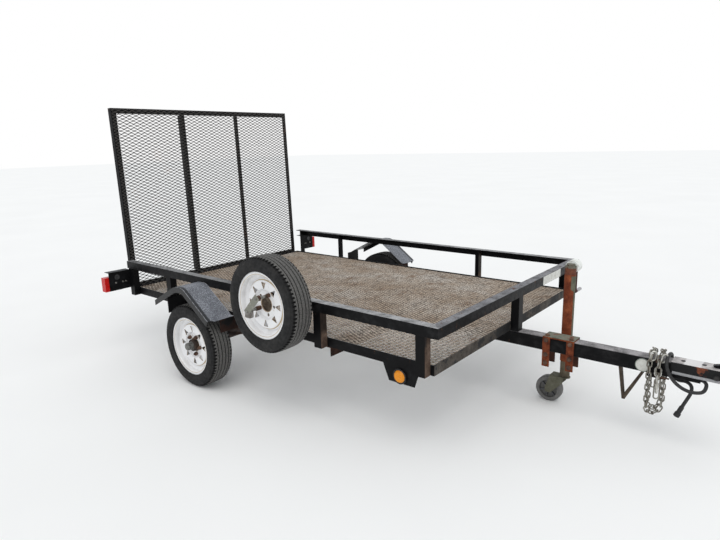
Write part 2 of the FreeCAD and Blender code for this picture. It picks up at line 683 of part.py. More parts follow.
def rim(name, label, x, y, z, sign):
    """A pressed wheel with triangular windows, its dished face away from the trailer."""
    body = new_body(name, x, y, z)
    wall, edge, seat, well = s.rim_wall, s.rim_half, s.seat_radius, s.well_radius
    outer = [(s.rim_radius, -edge), (s.rim_radius, wall - edge), (seat, 12 - edge), (seat, 30 - edge),
             (well, 42 - edge), (well, edge - 50), (seat, edge - 32), (seat, edge - 12),
             (s.rim_radius, edge - wall), (s.rim_radius, edge)]
    inner = [(seat, edge), (seat - wall, edge - 12), (seat - wall, edge - 34), (well - wall, edge - 52),
             (well - wall, 44 - edge), (seat - wall, 32 - edge), (seat - wall, 12 - edge), (seat, -edge)]
    turn(body, [facing(outer + inner, -sign)])
    face, bulge = s.face_out, s.bulge_out
    foot = (face + bulge) / 2 - 8
    disc = [(s.bore_radius, face), (s.window_in - 13, face), (s.window_in - 2, bulge), (s.window_out + 8, bulge),
            (well - wall, foot), (well - wall, foot - 10), (s.window_out + 6, bulge - wall),
            (s.window_in - 2, bulge - wall), (s.window_in - 11, face - wall), (s.bore_radius, face - wall)]
    turn(body, [facing(disc, sign)])
    deep = s.rim_half * 2
    for first, inner_half, outer_half in ((90, s.window_tip, s.window_wide), (45, s.window_wide, s.window_tip)):
        cos, sin = math.cos(math.radians(first)), math.sin(math.radians(first))
        local = [(s.window_in, -inner_half), (s.window_in, inner_half),
                 (s.window_out, outer_half), (s.window_out, -outer_half)]
        sketch = new_sketch(body, "XZ", -s.rim_half)
        draw_outline(sketch, [(u * cos - v * sin, u * sin + v * cos) for u, v in local])
        repeat_about_y(body, pocket(body, sketch, "XZ", deep, False), 4)
    angle = s.lug_angle
    sketch = new_sketch(body, "XZ", -s.rim_half)
    draw_circle(sketch, s.lug_circle * cosine(angle), s.lug_circle * sine(angle), s.lug_radius)
    repeat_about_y(body, pocket(body, sketch, "XZ", deep, False), 5)
    return node(label, body)


def tyre(name, label, x, y, z):
    """A tyre's ring: its bead on the rim's seat, its side, its shoulder and its tread."""
    body = new_body(name, x, y, z)
    seat = s.seat_radius + s.seat_gap
    half, top = s.tyre_half, s.tyre_radius
    side = [(seat, s.rim_half - 14), ((s.rim_radius + top) / 2 + 4, half), (top, half - 15)]
    turn(body, [side + [(radius, -out) for radius, out in reversed(side)]])
    return node(label, body)


def hub(name, label, x, y, z, sign):
    """The hub drum behind and through the wheel disc, and its grease cap."""
    body = new_body(name, x, y, z)
    bore = s.spindle_radius + s.spindle_fit
    end = s.cap_reach
    face = s.face_out - s.rim_wall - s.seat_gap
    flange = s.lug_circle + 13
    back = s.hub_radius + 5
    outline = [(bore, -s.hub_back), (back, -s.hub_back), (back, face - 12), (flange, face - 12),
               (flange, face), (s.hub_radius, face), (s.hub_radius, s.hub_front), (s.cap_radius, s.hub_front + 4),
               (s.cap_radius, end - 4), (s.cap_radius - 6, end), (0, end),
               (0, s.face_out + 2), (bore, s.face_out + 2)]
    turn(body, [facing(outline, sign)])
    return node(label, body)


def wheels():
    for side, sign in SIDES:
        y = sign * wheel_place
        tyre("Tyre_" + side, "tyre_" + side, s.axle_place, y, s.tyre_radius)
        rim("Rim_" + side, "rim_" + side, s.axle_place, y, s.tyre_radius, sign)
        hub("Hub_" + side, "hub_" + side, s.axle_place, y, s.tyre_radius, sign)


def spare():
    """The spare wheel, and the arm, plate and two studs that hold it on the right upper rail."""
    tyre("SpareTyre", "spare_tyre", spare_place, -spare_out, spare_height)
    rim("SpareRim", "spare_rim", spare_place, -spare_out, spare_height, -1)
    body = new_body("SpareCarrier", spare_place, 0, spare_height)
    face = spare_out + s.face_out - s.rim_wall - s.seat_gap
    half = s.spare_arm
    pad(body, "XZ", [rectangle(-half, half, -half, half)], -face, face - half_top)
    pad_circles(body, "XZ", [(0, 0, s.lug_circle + 14)], -face, s.spare_plate)
    studs = []
    for step in (0, 2):
        angle = s.lug_angle + 72 * step
        studs.append((s.lug_circle * cosine(angle), s.lug_circle * sine(angle), s.stud_radius))
    tip = spare_out + s.stud_reach
    pad_circles(body, "XZ", studs, -tip, tip - face)
    node("spare_carrier", body)


def fenders():
    """Bent fenders with a skirt along the outer edge, on brackets from the lower rails."""
    rear, front, top = fender_rear, fender_front, s.fender_top
    back, ahead = s.axle_place - s.knee_back, s.axle_place + s.knee_ahead
    tail, tip, skin, lip = s.fender_tail, s.fender_tip, s.fender_skin, s.fender_lip
    toe = front + s.fender_toe
    outer = [(rear, tail), (back, top, 130), (ahead, top, 90), (front, tip), (toe, tip)]
    under = [(toe, tip - skin), (front - 1, tip - skin), (ahead - 1, top - skin, 88),
             (back + 1, top - skin, 128), (rear + 1, tail - skin)]
    skirt = [(front - 14, tip - lip), (ahead - 10, top - lip, 70), (back + 7, top - lip, 110), (rear, tail - lip)]
    for side, sign in SIDES:
        start = fender_inner if sign > 0 else -(fender_inner + s.fender_width)
        edge = fender_inner + s.fender_width - skin if sign > 0 else start
        body = new_body("Fender_" + side)
        pad(body, "XZ", [outer + under], start, s.fender_width)
        pad(body, "XZ", [outer[:4] + skirt], edge, skin)
        notch = edge + skin - s.toe_notch if sign > 0 else start
        cut_outlines(body, "XZ", [rectangle(front, toe, tip - skin, tip)], notch, s.toe_notch)
        node("fender_" + side, body)
    body = new_body("FenderBrackets")
    reach = half_top + s.stay_reach
    plate = s.bracket_wall
    for start in (-reach, half_lower):
        pad(body, "XZ", [rectangle(front, front + plate, tip - s.stay_front, tip - skin),
                         rectangle(rear + 1, rear + 1 + plate, tail - s.stay_rear, tail - skin)],
            start, reach - half_lower)
    node("fender_brackets", body)


def lamps():
    """Tail lamps on their shelves beside the rear posts, and side marker lamps under the lower rails."""
    face, wall, top = s.lamp_face, s.bracket_wall, lamp_top
    body = new_body("LampBrackets")
    post = half_top - s.wall
    x, low = marker_place, marker_height - s.marker_radius
    shelf = [(face, top), (face, top - s.shelf_high), (face - wall, top - s.shelf_high),
             (face - wall, top - wall), (face - s.shelf_deep, top - wall), (face - s.shelf_deep, top)]
    plate = [(x - 103, lower_bottom), (x - 68, low), (x + 80, low), (x + 100, low + 61), (x + 100, lower_bottom)]
    for sign in (-1, 1):
        pad(body, "XZ", [shelf], post if sign > 0 else -lamp_out, lamp_out - post)
        pad(body, "XZ", [plate], half_lower - wall if sign > 0 else -half_lower, wall)
    node("lamp_brackets", body)

    body = new_body("TailLamps")
    back, high = face - wall, top - s.lamp_below
    deep = back - s.lamp_deep
    lamp = [(back, high), (back, high - s.lamp_high), (deep, high - s.lamp_high), (deep, high)]
    tip = lamp_out + s.lamp_over
    for start in (-tip, tip - s.lamp_length):
        pad(body, "XZ", [lamp], start, s.lamp_length)
    node("tail_lamps", body)

    body = new_body("MarkerLamps", marker_place, 0, marker_height)
    ring, lens = half_lower + s.marker_deep, half_lower + s.lens_out
    outline = [(0, half_lower), (s.marker_radius, half_lower), (s.marker_radius, ring), (s.lens_radius, ring),
               (s.lens_radius - 7, lens), (0, lens)]
    for sign in (-1, 1):
        turn(body, [facing(outline, sign)])
    node("marker_lamps", body)


def jack():
    """The swivel jack: its clamp on the tongue, its tubes, its gear housing with the crank, and its caster."""
    x, y = jack_place, s.jack_side
    tube = s.jack_radius
    body = new_body("JackTube", x, y, 0)
    pad_circles(body, "XY", [(0, 0, tube)], s.jack_low, s.jack_high - s.jack_low)
    cut_circles(body, "XY", [(0, 0, s.jack_bore)], s.jack_low, s.jack_high - s.jack_low)
    node("jack_tube", body)

    plate, half = s.clamp_plate, s.clamp_half
    top = lower_bottom + s.coupler_fit
    low = lower_bottom - s.strap_height
    body = new_body("JackBracket", x, 0, 0)
    inner, web = half - s.strap_width, tongue_bottom - s.clamp_below
    face = tongue_half + s.seat_gap
    height, boss = lower_bottom - tongue_half, s.swivel_radius
    pad(body, "XY", [rectangle(-half, half, -(tongue_half + plate), face + plate)], top, plate)
    pad(body, "XZ", [[(-half, low), (-inner, low), (-inner, web), (inner, web), (inner, low), (half, low),
                      (half, top + plate), (-half, top + plate)]], face, plate)
    pad_circles(body, "XZ", [(0, height, boss)], face, y - face)
    cut_circles(body, "XY", [(0, y, tube + s.seat_gap)], height - boss, 2 * boss)
    straps = [rectangle(-half, -inner, low, top), rectangle(inner, half, low, top)]
    pad(body, "XZ", straps, -(tongue_half + plate), plate - s.seat_gap)
    node("jack_bracket", body)

    body = new_body("JackHead", x, y, s.jack_high + s.drum_rise)
    shoulder = s.cap_rise / 2
    arm = s.drum_end + s.crank_out + s.crank_radius
    pad_circles(body, "XY", [(0, 0, tube)], -s.drum_rise, s.drum_rise + shoulder)
    pad_circles(body, "XY", [(0, 0, tube * 0.75)], shoulder, s.cap_rise - shoulder)
    pad_circles(body, "XZ", [(0, 0, s.drum_radius)], s.drum_start, s.drum_end - s.drum_start)
    pad_circles(body, "XZ", [(0, 0, s.grip_radius)], s.drum_end, s.crank_out + 2 * s.crank_radius + 1)
    pad_circles(body, "XY", [(0, arm, s.crank_radius)], -s.crank_reach, s.crank_reach)
    pad_circles(body, "XZ", [(0, -s.crank_reach, s.grip_radius)], arm - s.crank_radius - 0.5, s.grip_length)
    node("jack_head", body)

    body = new_body("JackLeg", x, y, 0)
    outer = s.jack_bore - s.spindle_fit
    foot = s.fork_top + s.swivel_gap
    pad_circles(body, "XY", [(0, 0, outer)], foot, s.jack_high - s.jack_slack - foot)
    cut_circles(body, "XY", [(0, 0, outer - s.jack_wall)], foot + s.swivel_deep, s.jack_high)
    cut_circles(body, "XY", [(0, 0, s.caster_pin + s.spindle_fit)], foot, s.swivel_deep)
    node("jack_leg", body)

    body = new_body("CasterFork", x, y, 0)
    trail, height, thick = s.caster_trail, s.caster_radius, s.fork_plate
    gap = s.caster_half + s.fork_gap
    under = s.fork_top - thick
    pad_circles(body, "XY", [(0, 0, s.jack_bore + 4)], under, thick)
    pad(body, "XY", [rectangle(8 - trail, 8, -(gap + thick), gap + thick)], under, thick)
    pad_circles(body, "XY", [(0, 0, s.caster_pin)], under, s.swivel_deep)
    arm = [(0, under + 1), (0, under - 28, 12), (16 - trail, height - 16, 10), (-trail - 16, height - 16, 14),
           (-trail - 16, height + 12, 14), (8 - trail, under + 1)]
    for start in (-(gap + thick), gap):
        pad(body, "XZ", [arm], start, thick)
    pad_circles(body, "XZ", [(-trail, height, s.caster_pin)], -(gap + thick), 2 * (gap + thick))
    node("caster_fork", body)

    body = new_body("CasterWheel", x - trail, y, height)
    half, web = s.caster_half, s.caster_web
    bore = s.caster_pin + s.spindle_fit
    hub_out, rim_in = height * 0.27, height * 0.7
    side = [(bore, half + 2), (hub_out, half + 2), (hub_out, web), (rim_in, web), (rim_in, half),
            (height - 6, half), (height, half - 6)]
    turn(body, [side + [(radius, -out) for radius, out in reversed(side)]])
    node("caster_wheel", body)


def gate_body(name):
    """A body in the gate's own frame: its origin on the hinge axis, +Z up the gate."""
    body = doc.addObject("PartDesign::Body", name)
    body.AllowCompound = True
    leaning = FreeCAD.Rotation(FreeCAD.Vector(0, -1, 0), s.gate_lean.value)
    body.Placement = FreeCAD.Placement(FreeCAD.Vector(), leaning)
    place(body, -s.gate_back, 0, gate_hinge)
    bind(body, "Placement.Rotation.Angle", s.gate_lean)
    return body


def gate():
    """The ramp gate: a mitred angle frame with two upright bars inside, and mesh on its front."""
    half = gate_half
    low, top = s.gate_foot, s.gate_height
    leg, wall = s.gate_leg, s.gate_wall
    body = gate_body("GateStiles")
    for sign in (-1, 1):
        for depth, thick in ((leg, wall), (wall, leg)):
            pad(body, "YZ", [[(sign * half, low), (sign * half, top), (sign * (half - depth), top - depth),
                              (sign * (half - depth), low + depth)]], -thick, thick)
    node("gate_stiles", body)

    body = gate_body("GateRails")
    for edge, inward in ((low, 1), (top, -1)):
        for depth, thick in ((leg, wall), (wall, leg)):
            pad(body, "YZ", [[(-half, edge), (half, edge), (half - depth, edge + inward * depth),
                              (depth - half, edge + inward * depth)]], -thick, thick)
    ear = s.lug_half
    for sign in (-1, 1):
        start = sign * hinge_place - s.hinge_plate / 2
        lug = [(-ear, low + wall), (-ear, -ear, 12), (ear, -ear, 12), (ear, low + wall)]
        pad(body, "XZ", [lug], start, s.hinge_plate)
        cut_circles(body, "XZ", [(0, 0, s.pin_radius + s.spindle_fit)], start, s.hinge_plate)
    node("gate_rails", body)

    body = gate_body("GateBars")
    for sign in (-1, 1):
        y = sign * half / 3
        side, web = y - sign * leg, y - sign * wall
        pad(body, "XY", [[(-wall, y), (-wall, side), (-2 * wall, side), (-2 * wall, web), (-leg, web), (-leg, y)]],
            low + leg, top - low - 2 * leg)
    node("gate_bars", body)

    body = gate_body("GateMesh")
    edge = s.gate_margin
    pad(body, "YZ", [rectangle(edge - half, half - edge, low + edge, top - edge)], 0, s.mesh_thick)
    open_mesh(body, "YZ", (edge - half, half - edge), (low + edge, top - edge), 8, 12, 0)
    node("gate_mesh", body)

    body = new_body("GateHinges", -s.gate_back, 0, gate_hinge)
    thick = s.hinge_plate
    apart = thick / 2 + s.hinge_play
    tab = s.pin_radius + 4
    outline = [(s.gate_back, tab), (s.gate_back, 1 - s.hinge_rise), (-4, -tab, 10), (-tab, 0, 8), (-4, tab, 10)]
    for sign in (-1, 1):
        y = sign * hinge_place
        for start in (y + apart, y - apart - thick):
            pad(body, "XZ", [outline], start, thick)
        reach = apart + thick + s.pin_over
        pad_circles(body, "XZ", [(0, 0, s.pin_radius)], y - reach, 2 * reach)
    node("gate_hinges", body)


def chain_link(middle, along, across, wire, length, width):
    """One link: a ring of square bar with eight corners, its length along the chain."""
    normal = along.cross(across)
    tip = wire * 0.62
    slope = math.hypot(length / 5, width / 2 - tip)
    rings = []
    for grow in (wire, 0):
        long, wide = length / 2 + grow, width / 2 + grow
        nose = tip + grow * (slope - length / 5) / (width / 2 - tip)
        side = length / 2 - length / 5 + grow * (slope - width / 2 + tip) / (length / 5)
        corners = [(-long, -nose), (-side, -wide), (side, -wide), (long, -nose),
                   (long, nose), (side, wide), (-side, wide), (-long, nose)]
        points = [middle + along * u + across * v - normal * (wire / 2) for u, v in corners]
        rings.append(Part.Face(Part.makePolygon(points + points[:1])).extrude(normal * wire))
    return rings[0].cut(rings[1])


def chain_route(x_hole, x_side, side):
    """The chain's line: down from the anchor, up beside the tongue, over it and down the other side."""
    wide = chain_side.value
    low = (tongue_bottom - s.chain_drop).value
    top = (lower_bottom - s.chain_sink).value
    hook = tongue_bottom - s.anchor_hole - s.eye_radius + 1
    reach = FreeCAD.Vector(x_side - x_hole, side * wide, 0)
    bend = reach.Length / 2
    centre = FreeCAD.Vector(x_hole, 0, low + bend) + reach * 0.5
    points = [FreeCAD.Vector(x_hole, 0, hook.value)]
    for step in range(0, 25):
        angle = math.pi * step / 24
        points.append(centre - reach * (0.5 * math.cos(angle)) - FreeCAD.Vector(0, 0, bend * math.sin(angle)))
    for step in range(0, 25):
        angle = math.pi * step / 24
        points.append(FreeCAD.Vector(x_side, side * wide * math.cos(angle), top + wide * math.sin(angle)))
    points.append(FreeCAD.Vector(x_side, -side * wide, top - s.chain_tail.value))
    return points


def next_stop(points, first, start, pitch):
    """The point of the route, from its stretch number first on, that lies one pitch from start."""
    here = start
    for number in range(first, len(points)):
        there = points[number]
        if (there - start).Length >= pitch:
            low, high = 0.0, 1.0
            for _ in range(40):
                mid = (low + high) / 2
                if (here + (there - here) * mid - start).Length < pitch:
                    low = mid
                else:
                    high = mid
            return number, here + (there - here) * high
        here = there
    return None, None


def along_route(points, length, play, wire):
    """The joints of the links, and how far each link laps past them where the chain bends."""
    laps = {}
    for _ in range(8):
        stops, number = [points[0]], 1
        while number is not None:
            count = len(stops) - 1
            pitch = length - play - laps.get(count, 0) - laps.get(count + 1, 0)
            number, stop = next_stop(points, number, stops[-1], pitch)
            if number is not None:
                stops.append(stop)
        runs = [after - before for before, after in zip(stops, stops[1:])]
        bends = [first.getAngle(second) for first, second in zip(runs, runs[1:])]
        laps = {count: wire / 2 * math.tan(bend / 2) for count, bend in enumerate(bends, start=1)}
    return stops, laps


def chains():
    """Two safety chains, each from the anchor under the tongue round in a loop and over the tongue."""
    wire = s.chain_wire.value
    play = s.chain_play.value
    inner, width = s.chain_length.value, s.chain_width.value
    links = []
    rear, front = chain_place.value, (chain_place + s.chain_apart).value
    for x_hole, x_side, side in ((front, rear + 8, -1), (rear, front - 14, 1)):
        stops, laps = along_route(chain_route(x_hole, x_side, side), inner, play, wire)
        normal = FreeCAD.Vector(1, 0, 0)
        for count, (start, stop) in enumerate(zip(stops, stops[1:])):
            along = (stop - start).normalize()
            normal = (normal - along * normal.dot(along)).normalize()
            across = normal if count % 2 else along.cross(normal)
            shift = (laps.get(count + 1, 0) - laps.get(count, 0)) / 2
            links.append(chain_link((start + stop) / 2 + along * shift, along, across, wire, inner, width))
        down = FreeCAD.Vector(0, 0, -1)
        hook = s.hook_length.value
        across = normal if len(stops) % 2 == 0 else down.cross(normal)
        links.append(chain_link(stops[-1] + down * ((hook - play) / 2), down, across,
                                wire, hook, width + 4))
    chain = doc.addObject("Part::Feature", "SafetyChains")
    chain.Shape = Part.makeCompound(links)
    place(chain)
    node("safety_chains", chain)

    body = new_body("ChainAnchor")
    rear, front = chain_place, chain_place + s.chain_apart
    low, edge, half = tongue_bottom - s.anchor_drop, s.anchor_edge, s.anchor_half
    pad(body, "XZ", [[(rear - edge, tongue_bottom), (rear - edge, low, 10), (front + edge, low, 10),
                      (front + edge, tongue_bottom)]], -half, 2 * half)
    hole = tongue_bottom - s.anchor_hole
    cut_circles(body, "XZ", [(rear, hole, s.eye_radius), (front, hole, s.eye_radius)], -half, 2 * half)
    node("chain_anchor", body)


CORD_ROUTE = [
    (3470, -18, 342.7), (3514, -24, 343), (3514, -45, 299), (3478, -54, 288), (3440, -58, 292),
    (3402, -60, 312), (3372, -60, 345), (3353, -60, 388), (3351, -53, 425), (3353, -6, 436),
    (3354, 44, 421), (3354, 60, 372), (3360, 54, 322), (3388, 26, 298), (3428, 6, 314),
    (3457, -5, 300), (3455, -8, 262), (3440, -12, 226), (3426, -16, 190),
]


def cord():
    """The wiring from the tongue's open end, once round the tongue, then down to its plug."""
    radius = s.cord_radius.value
    points = [FreeCAD.Vector(*point) for point in CORD_ROUTE]
    edges = []
    here = points[0]
    smallest = None
    for before, point, after in zip(points, points[1:], points[2:]):
        back, on = before - point, after - point
        half = back.getAngle(on) / 2
        run = 0.45 * min(back.Length, on.Length)
        size = run * math.tan(half)
        smallest = size if smallest is None else min(smallest, size)
        back.normalize()
        on.normalize()
        first, last = point + back * run, point + on * run
        inward = (back + on).normalize()
        middle = point + inward * (size / math.sin(half) - size)
        edges.append(Part.LineSegment(here, first).toShape())
        edges.append(Part.Arc(first, middle, last).toShape())
        here = last
    edges.append(Part.LineSegment(here, points[-1]).toShape())
    path = Part.Wire(edges)
    direction = (points[1] - points[0]).normalize()
    ring = Part.Wire([Part.Circle(points[0], direction, radius).toShape()])
    tube = path.makePipeShell([ring], True, False)
    print("cord: length %.0f, smallest radius %.0f, volume ratio %.4f"
          % (path.Length, smallest, tube.Volume / (math.pi * radius ** 2 * path.Length)))
    wiring = doc.addObject("Part::Feature", "WiringCord")
    wiring.Shape = tube
    place(wiring)
    node("wiring_cord", wiring)

    end = points[-1]
    direction = (points[-1] - points[-2]).normalize()
    grip = s.plug_grip.value
    plug = Part.makeCylinder(s.plug_radius.value, grip, end, direction)
    nose = Part.makeCylinder(s.plug_face.value, s.plug_nose.value, end + direction * grip, direction)
    plug = plug.fuse(nose).removeSplitter()
    thing = doc.addObject("Part::Feature", "WiringPlug")
    thing.Shape = plug
    place(thing)
    node("wiring_plug", thing)


def check(labels_and_objects):
    """Every object computed, and every sub-part whole and valid."""
    bad = [o.Name for o in doc.Objects if "Invalid" in o.State or "Error" in o.State]
    if bad:
        raise RuntimeError("objects that did not compute: " + ", ".join(bad))
    for label, thing in labels_and_objects:
        shape = thing.Shape
        if shape.isNull() or not shape.isValid() or not shape.Solids:
            raise RuntimeError("no valid shape: " + label)


lower_frame()
floor()
upper_frame()
posts()
tongue()
coupler()
axle()
wheels()
spare()
fenders()
lamps()
jack()
gate()
chains()
cord()
doc.recompute()
check(nodes)
os.makedirs("parts", exist_ok=True)
for label, thing in nodes:
    thing.Shape.exportStep("parts/%s.step" % label)
    solids, litres = len(thing.Shape.Solids), thing.Shape.Volume / 1e6
    print("%-18s solids %d, %.3f litres, lowest %.2f" % (label, solids, litres, thing.Shape.BoundBox.ZMin))
box = Part.makeCompound([thing.Shape for label, thing in nodes]).BoundBox
print("box", [round(v, 2) for v in (box.XMin, box.XMax, box.YMin, box.YMax, box.ZMin, box.ZMax)])
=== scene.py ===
from math import cos, pi, radians, sin, sqrt

import bmesh
import bpy
import numpy as np
from mathutils import Matrix, Vector


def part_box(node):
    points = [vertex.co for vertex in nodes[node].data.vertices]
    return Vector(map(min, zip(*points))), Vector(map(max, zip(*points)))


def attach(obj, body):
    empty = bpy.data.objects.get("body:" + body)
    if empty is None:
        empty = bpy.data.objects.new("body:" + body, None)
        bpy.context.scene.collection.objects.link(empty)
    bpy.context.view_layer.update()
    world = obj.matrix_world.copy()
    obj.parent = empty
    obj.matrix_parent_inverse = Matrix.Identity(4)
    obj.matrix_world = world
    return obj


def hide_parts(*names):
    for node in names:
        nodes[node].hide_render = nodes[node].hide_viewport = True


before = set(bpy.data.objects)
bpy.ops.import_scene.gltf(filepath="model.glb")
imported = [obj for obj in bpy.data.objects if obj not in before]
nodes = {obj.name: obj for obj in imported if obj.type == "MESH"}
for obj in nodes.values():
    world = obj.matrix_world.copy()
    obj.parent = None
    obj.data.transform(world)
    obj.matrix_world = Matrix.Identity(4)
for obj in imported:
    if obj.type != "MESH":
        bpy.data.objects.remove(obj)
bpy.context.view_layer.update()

# The trailer's own directions: x from the rear end of the upper rails, y to the left of the
# centre line, z above the ground. Lengths in this script are metres.
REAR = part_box("upper_rail_right")[0].x
MIDDLE = (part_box("upper_rail_right")[0].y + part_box("upper_rail_left")[1].y) / 2
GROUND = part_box("tyre_right")[0].z


def at(x, y, z):
    """A point given in the trailer's own directions."""
    return Vector((REAR + x, MIDDLE + y, GROUND + z))


def having(thing, **values):
    """The thing, once its attributes have these values: a point's y, say, or a node's operation."""
    for key, value in values.items():
        setattr(thing, key, value)
    return thing


def span_of(node):
    low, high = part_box(node)
    return high - low


def centre_of(node):
    low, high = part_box(node)
    return (low + high) / 2


def placed(name, data):
    """An object in the scene that shows the data."""
    thing = bpy.data.objects.new(name, data)
    bpy.context.scene.collection.objects.link(thing)
    return thing


# The camera, fitted to the straight edges of the frame in the photograph
RIGHT = Vector((0.76928, 0.63837, -0.02638))
UP = Vector((-0.1207, 0.18575, 0.97516))
FORWARD = Vector((-0.62741, 0.74698, -0.21994))
EYE = Vector((2.04, -2.7997, 1.4328))
SENSOR_MM = 36
LENS_MM = 27.92


def camera():
    data = having(bpy.data.cameras.new("camera"), sensor_width=SENSOR_MM, lens=LENS_MM)
    thing = placed("camera", data)
    turn = Matrix((RIGHT, UP, -FORWARD)).transposed().to_4x4()
    thing.matrix_world = Matrix.Translation(EYE) @ turn
    bpy.context.scene.camera = thing


class Value:
    """A node's output. Arithmetic with it adds the nodes that work out the result."""

    def __init__(self, finish, socket):
        self.finish = finish
        self.socket = socket

    def __add__(self, other):
        return self.finish.math("ADD", self, other)

    def __sub__(self, other):
        return self.finish.math("SUBTRACT", self, other)

    def __rsub__(self, other):
        return self.finish.math("SUBTRACT", other, self)

    def __mul__(self, other):
        return self.finish.math("MULTIPLY", self, other)

    def __abs__(self):
        return self.finish.math("ABSOLUTE", self)


class Finish:
    """A material whose nodes are added and joined by short calls."""

    def __init__(self, name):
        self.material = bpy.data.materials.new(name)
        self.material.use_nodes = True
        self.tree = self.material.node_tree
        self.shader = self.tree.nodes["Principled BSDF"]
        self.place = self.node("ShaderNodeTexCoord", {}, "Object")

    def feed(self, socket, value):
        """A constant is set on the socket, and another node's output is linked to it."""
        if isinstance(value, Value):
            self.tree.links.new(value.socket, socket)
        elif isinstance(value, tuple) and socket.type == "RGBA":
            socket.default_value = (*value, 1)
        else:
            socket.default_value = value

    def node(self, kind, inputs, output=0, **settings):
        """A new node's output, once its settings and its inputs are given."""
        node = having(self.tree.nodes.new(kind), **settings)
        for key, value in inputs.items():
            self.feed(node.inputs[key], value)
        return Value(self, node.outputs[output])

    def set(self, **values):
        for key, value in values.items():
            self.feed(self.shader.inputs[key.replace("_", " ")], value)

    def done(self, colour, rough, relief, depth, strength, gloss=0.5, **values):
        """The material, once its colour, roughness, relief and other values are set."""
        bump = self.node("ShaderNodeBump", {"Height": relief, "Distance": depth, "Strength": strength})
        self.set(Base_Color=colour, Roughness=rough, Normal=bump, Specular_IOR_Level=gloss, **values)
        return self.material

    def math(self, operation, first, second=0.0, clamp=False):
        return self.node("ShaderNodeMath", {0: first, 1: second}, operation=operation, use_clamp=clamp)

    def larger(self, first, second):
        return self.math("MAXIMUM", first, second)

    def waves(self, value, length):
        return self.math("SINE", value * (2 * pi / length))

    def noise(self, scale, detail=5.0, rough=0.55, stretch=None):
        place = self.place
        if stretch:
            place = self.node("ShaderNodeMapping", {"Vector": place, "Scale": stretch})
        return self.node("ShaderNodeTexNoise",
                         {"Vector": place, "Scale": scale, "Detail": detail, "Roughness": rough}, "Fac")

    def spangle(self, scale):
        """Small cells, each of its own even tone."""
        return self.node("ShaderNodeTexVoronoi", {"Vector": self.place, "Scale": scale}, "Color")

    def band(self, value, low, high, start=0.0, end=1.0):
        """The value's way from low to high, smoothly from start to end."""
        limits = {"Value": value, "From Min": low, "From Max": high, "To Min": start, "To Max": end}
        return self.node("ShaderNodeMapRange", limits, "Result", interpolation_type="SMOOTHSTEP")

    def follow(self, noise, start, end):
        """From start to end as a noise goes through its usual range."""
        return self.band(noise, 0.3, 0.7, start, end)

    def patches(self, noise, low, high, start=0.0, end=1.0):
        """Patches from a noise, which is given as (scale, detail, roughness, stretch)."""
        return self.band(self.noise(*noise), low, high, start, end)

    def between(self, value, low, high, soft=0.0008):
        """One where the value lies between low and high, none beyond."""
        return self.band(value, low - soft, low) * self.band(value, high + soft, high)

    def blend(self, amount, first, second):
        return self.node("ShaderNodeMix", {0: amount, 6: first, 7: second}, 2, data_type="RGBA")

    def ramp(self, value, *stops):
        """Colours by a value: stops of (position, colour)."""
        node = self.tree.nodes.new("ShaderNodeValToRGB")
        self.feed(node.inputs[0], value)
        elements = node.color_ramp.elements
        while len(elements) < len(stops):
            elements.new(0.5)
        for element, (position, colour) in zip(elements, stops):
            element.position = position
            element.color = (*colour, 1)
        return Value(self, node.outputs[0])

    def part(self, vector, axis):
        return self.node("ShaderNodeSeparateXYZ", {0: vector}, axis.upper())

    # The surface point's own coordinates
    x = property(lambda self: self.part(self.place, "x"))
    y = property(lambda self: self.part(self.place, "y"))
    z = property(lambda self: self.part(self.place, "z"))

    def facing(self, axis):
        """How far the surface's normal points along x, y or z."""
        return self.part(self.node("ShaderNodeNewGeometry", {}, "Normal"), axis)

    def from_axle(self, centre):
        """The distance from a line along Y through the centre, such as a wheel's axle."""
        x = self.x - centre.x
        z = self.z - centre.z
        return self.math("SQRT", x * x + z * z)

    def rust(self, dark=(0.03, 0.016, 0.011), mid=(0.105, 0.042, 0.022), light=(0.26, 0.1, 0.042)):
        """Blotchy rust: its colour, and its height for the relief."""
        height = self.noise(22, 8, 0.62) * 0.72 + self.noise(180, 4, 0.6) * 0.28
        return self.ramp(height, (0.36, dark), (0.5, mid), (0.66, light)), height

    def grainy(self, height):
        """The height with a fine grain on it."""
        return height + self.noise(420, 3) * 0.35


def black_paint(name, rust=0.66, dust=0.5, shine=0.34, pale=(0.26, 0.27, 0.29), paler=None):
    """Old black enamel: dust and bleached paint on what faces up, made paler still as painted sky sheen,
    and chips and runs of rust.
    It may get paler between two places along X, with more of that dust and painted sheen."""
    mat = Finish(name)
    paint = mat.ramp(mat.noise(7, 6, 0.6), (0.3, (0.003, 0.003, 0.0034)), (0.7, (0.006, 0.006, 0.0068)))
    # The pale colour on what faces up is partly dust and bleached paint, partly painted sky sheen
    up = mat.band(mat.facing("z"), 0.55, 0.95)
    bleach_and_sheen_patches = mat.patches((23, 8, 0.7, (0.5, 0.5, 1.0)), 0.34, 0.62, 0.3, 1.0)
    scuffs = mat.patches((150, 6, 0.75), 0.35, 0.65, 0.55, 1.0)
    dust_and_sheen = up * bleach_and_sheen_patches * (scuffs * dust)
    if paler:
        dust_and_sheen = dust_and_sheen * mat.band(mat.x, *paler, 0.62, 1.0)
    film = mat.patches((18, 7, 0.7), 0.45, 0.75) * 0.03
    dusted_and_sheened = mat.blend(mat.larger(dust_and_sheen, film), paint, pale)
    chips = mat.patches((34, 7, 0.72, (1.0, 1.0, 0.3)), rust, rust + 0.04)
    rusty = mat.rust((0.022, 0.012, 0.009), (0.07, 0.032, 0.02), (0.16, 0.075, 0.042))[0]
    sheen = mat.patches((55, 5), 0.25, 0.75, shine, shine + 0.22)
    rough = mat.math("ADD", sheen, mat.larger(chips, dust_and_sheen) * 0.34, clamp=True)
    wrinkles = mat.noise(240, 3) - chips * 0.8
    return mat.done(mat.blend(chips, dusted_and_sheened, rusty), rough, wrinkles, 0.0004, 0.5, gloss=0.1)


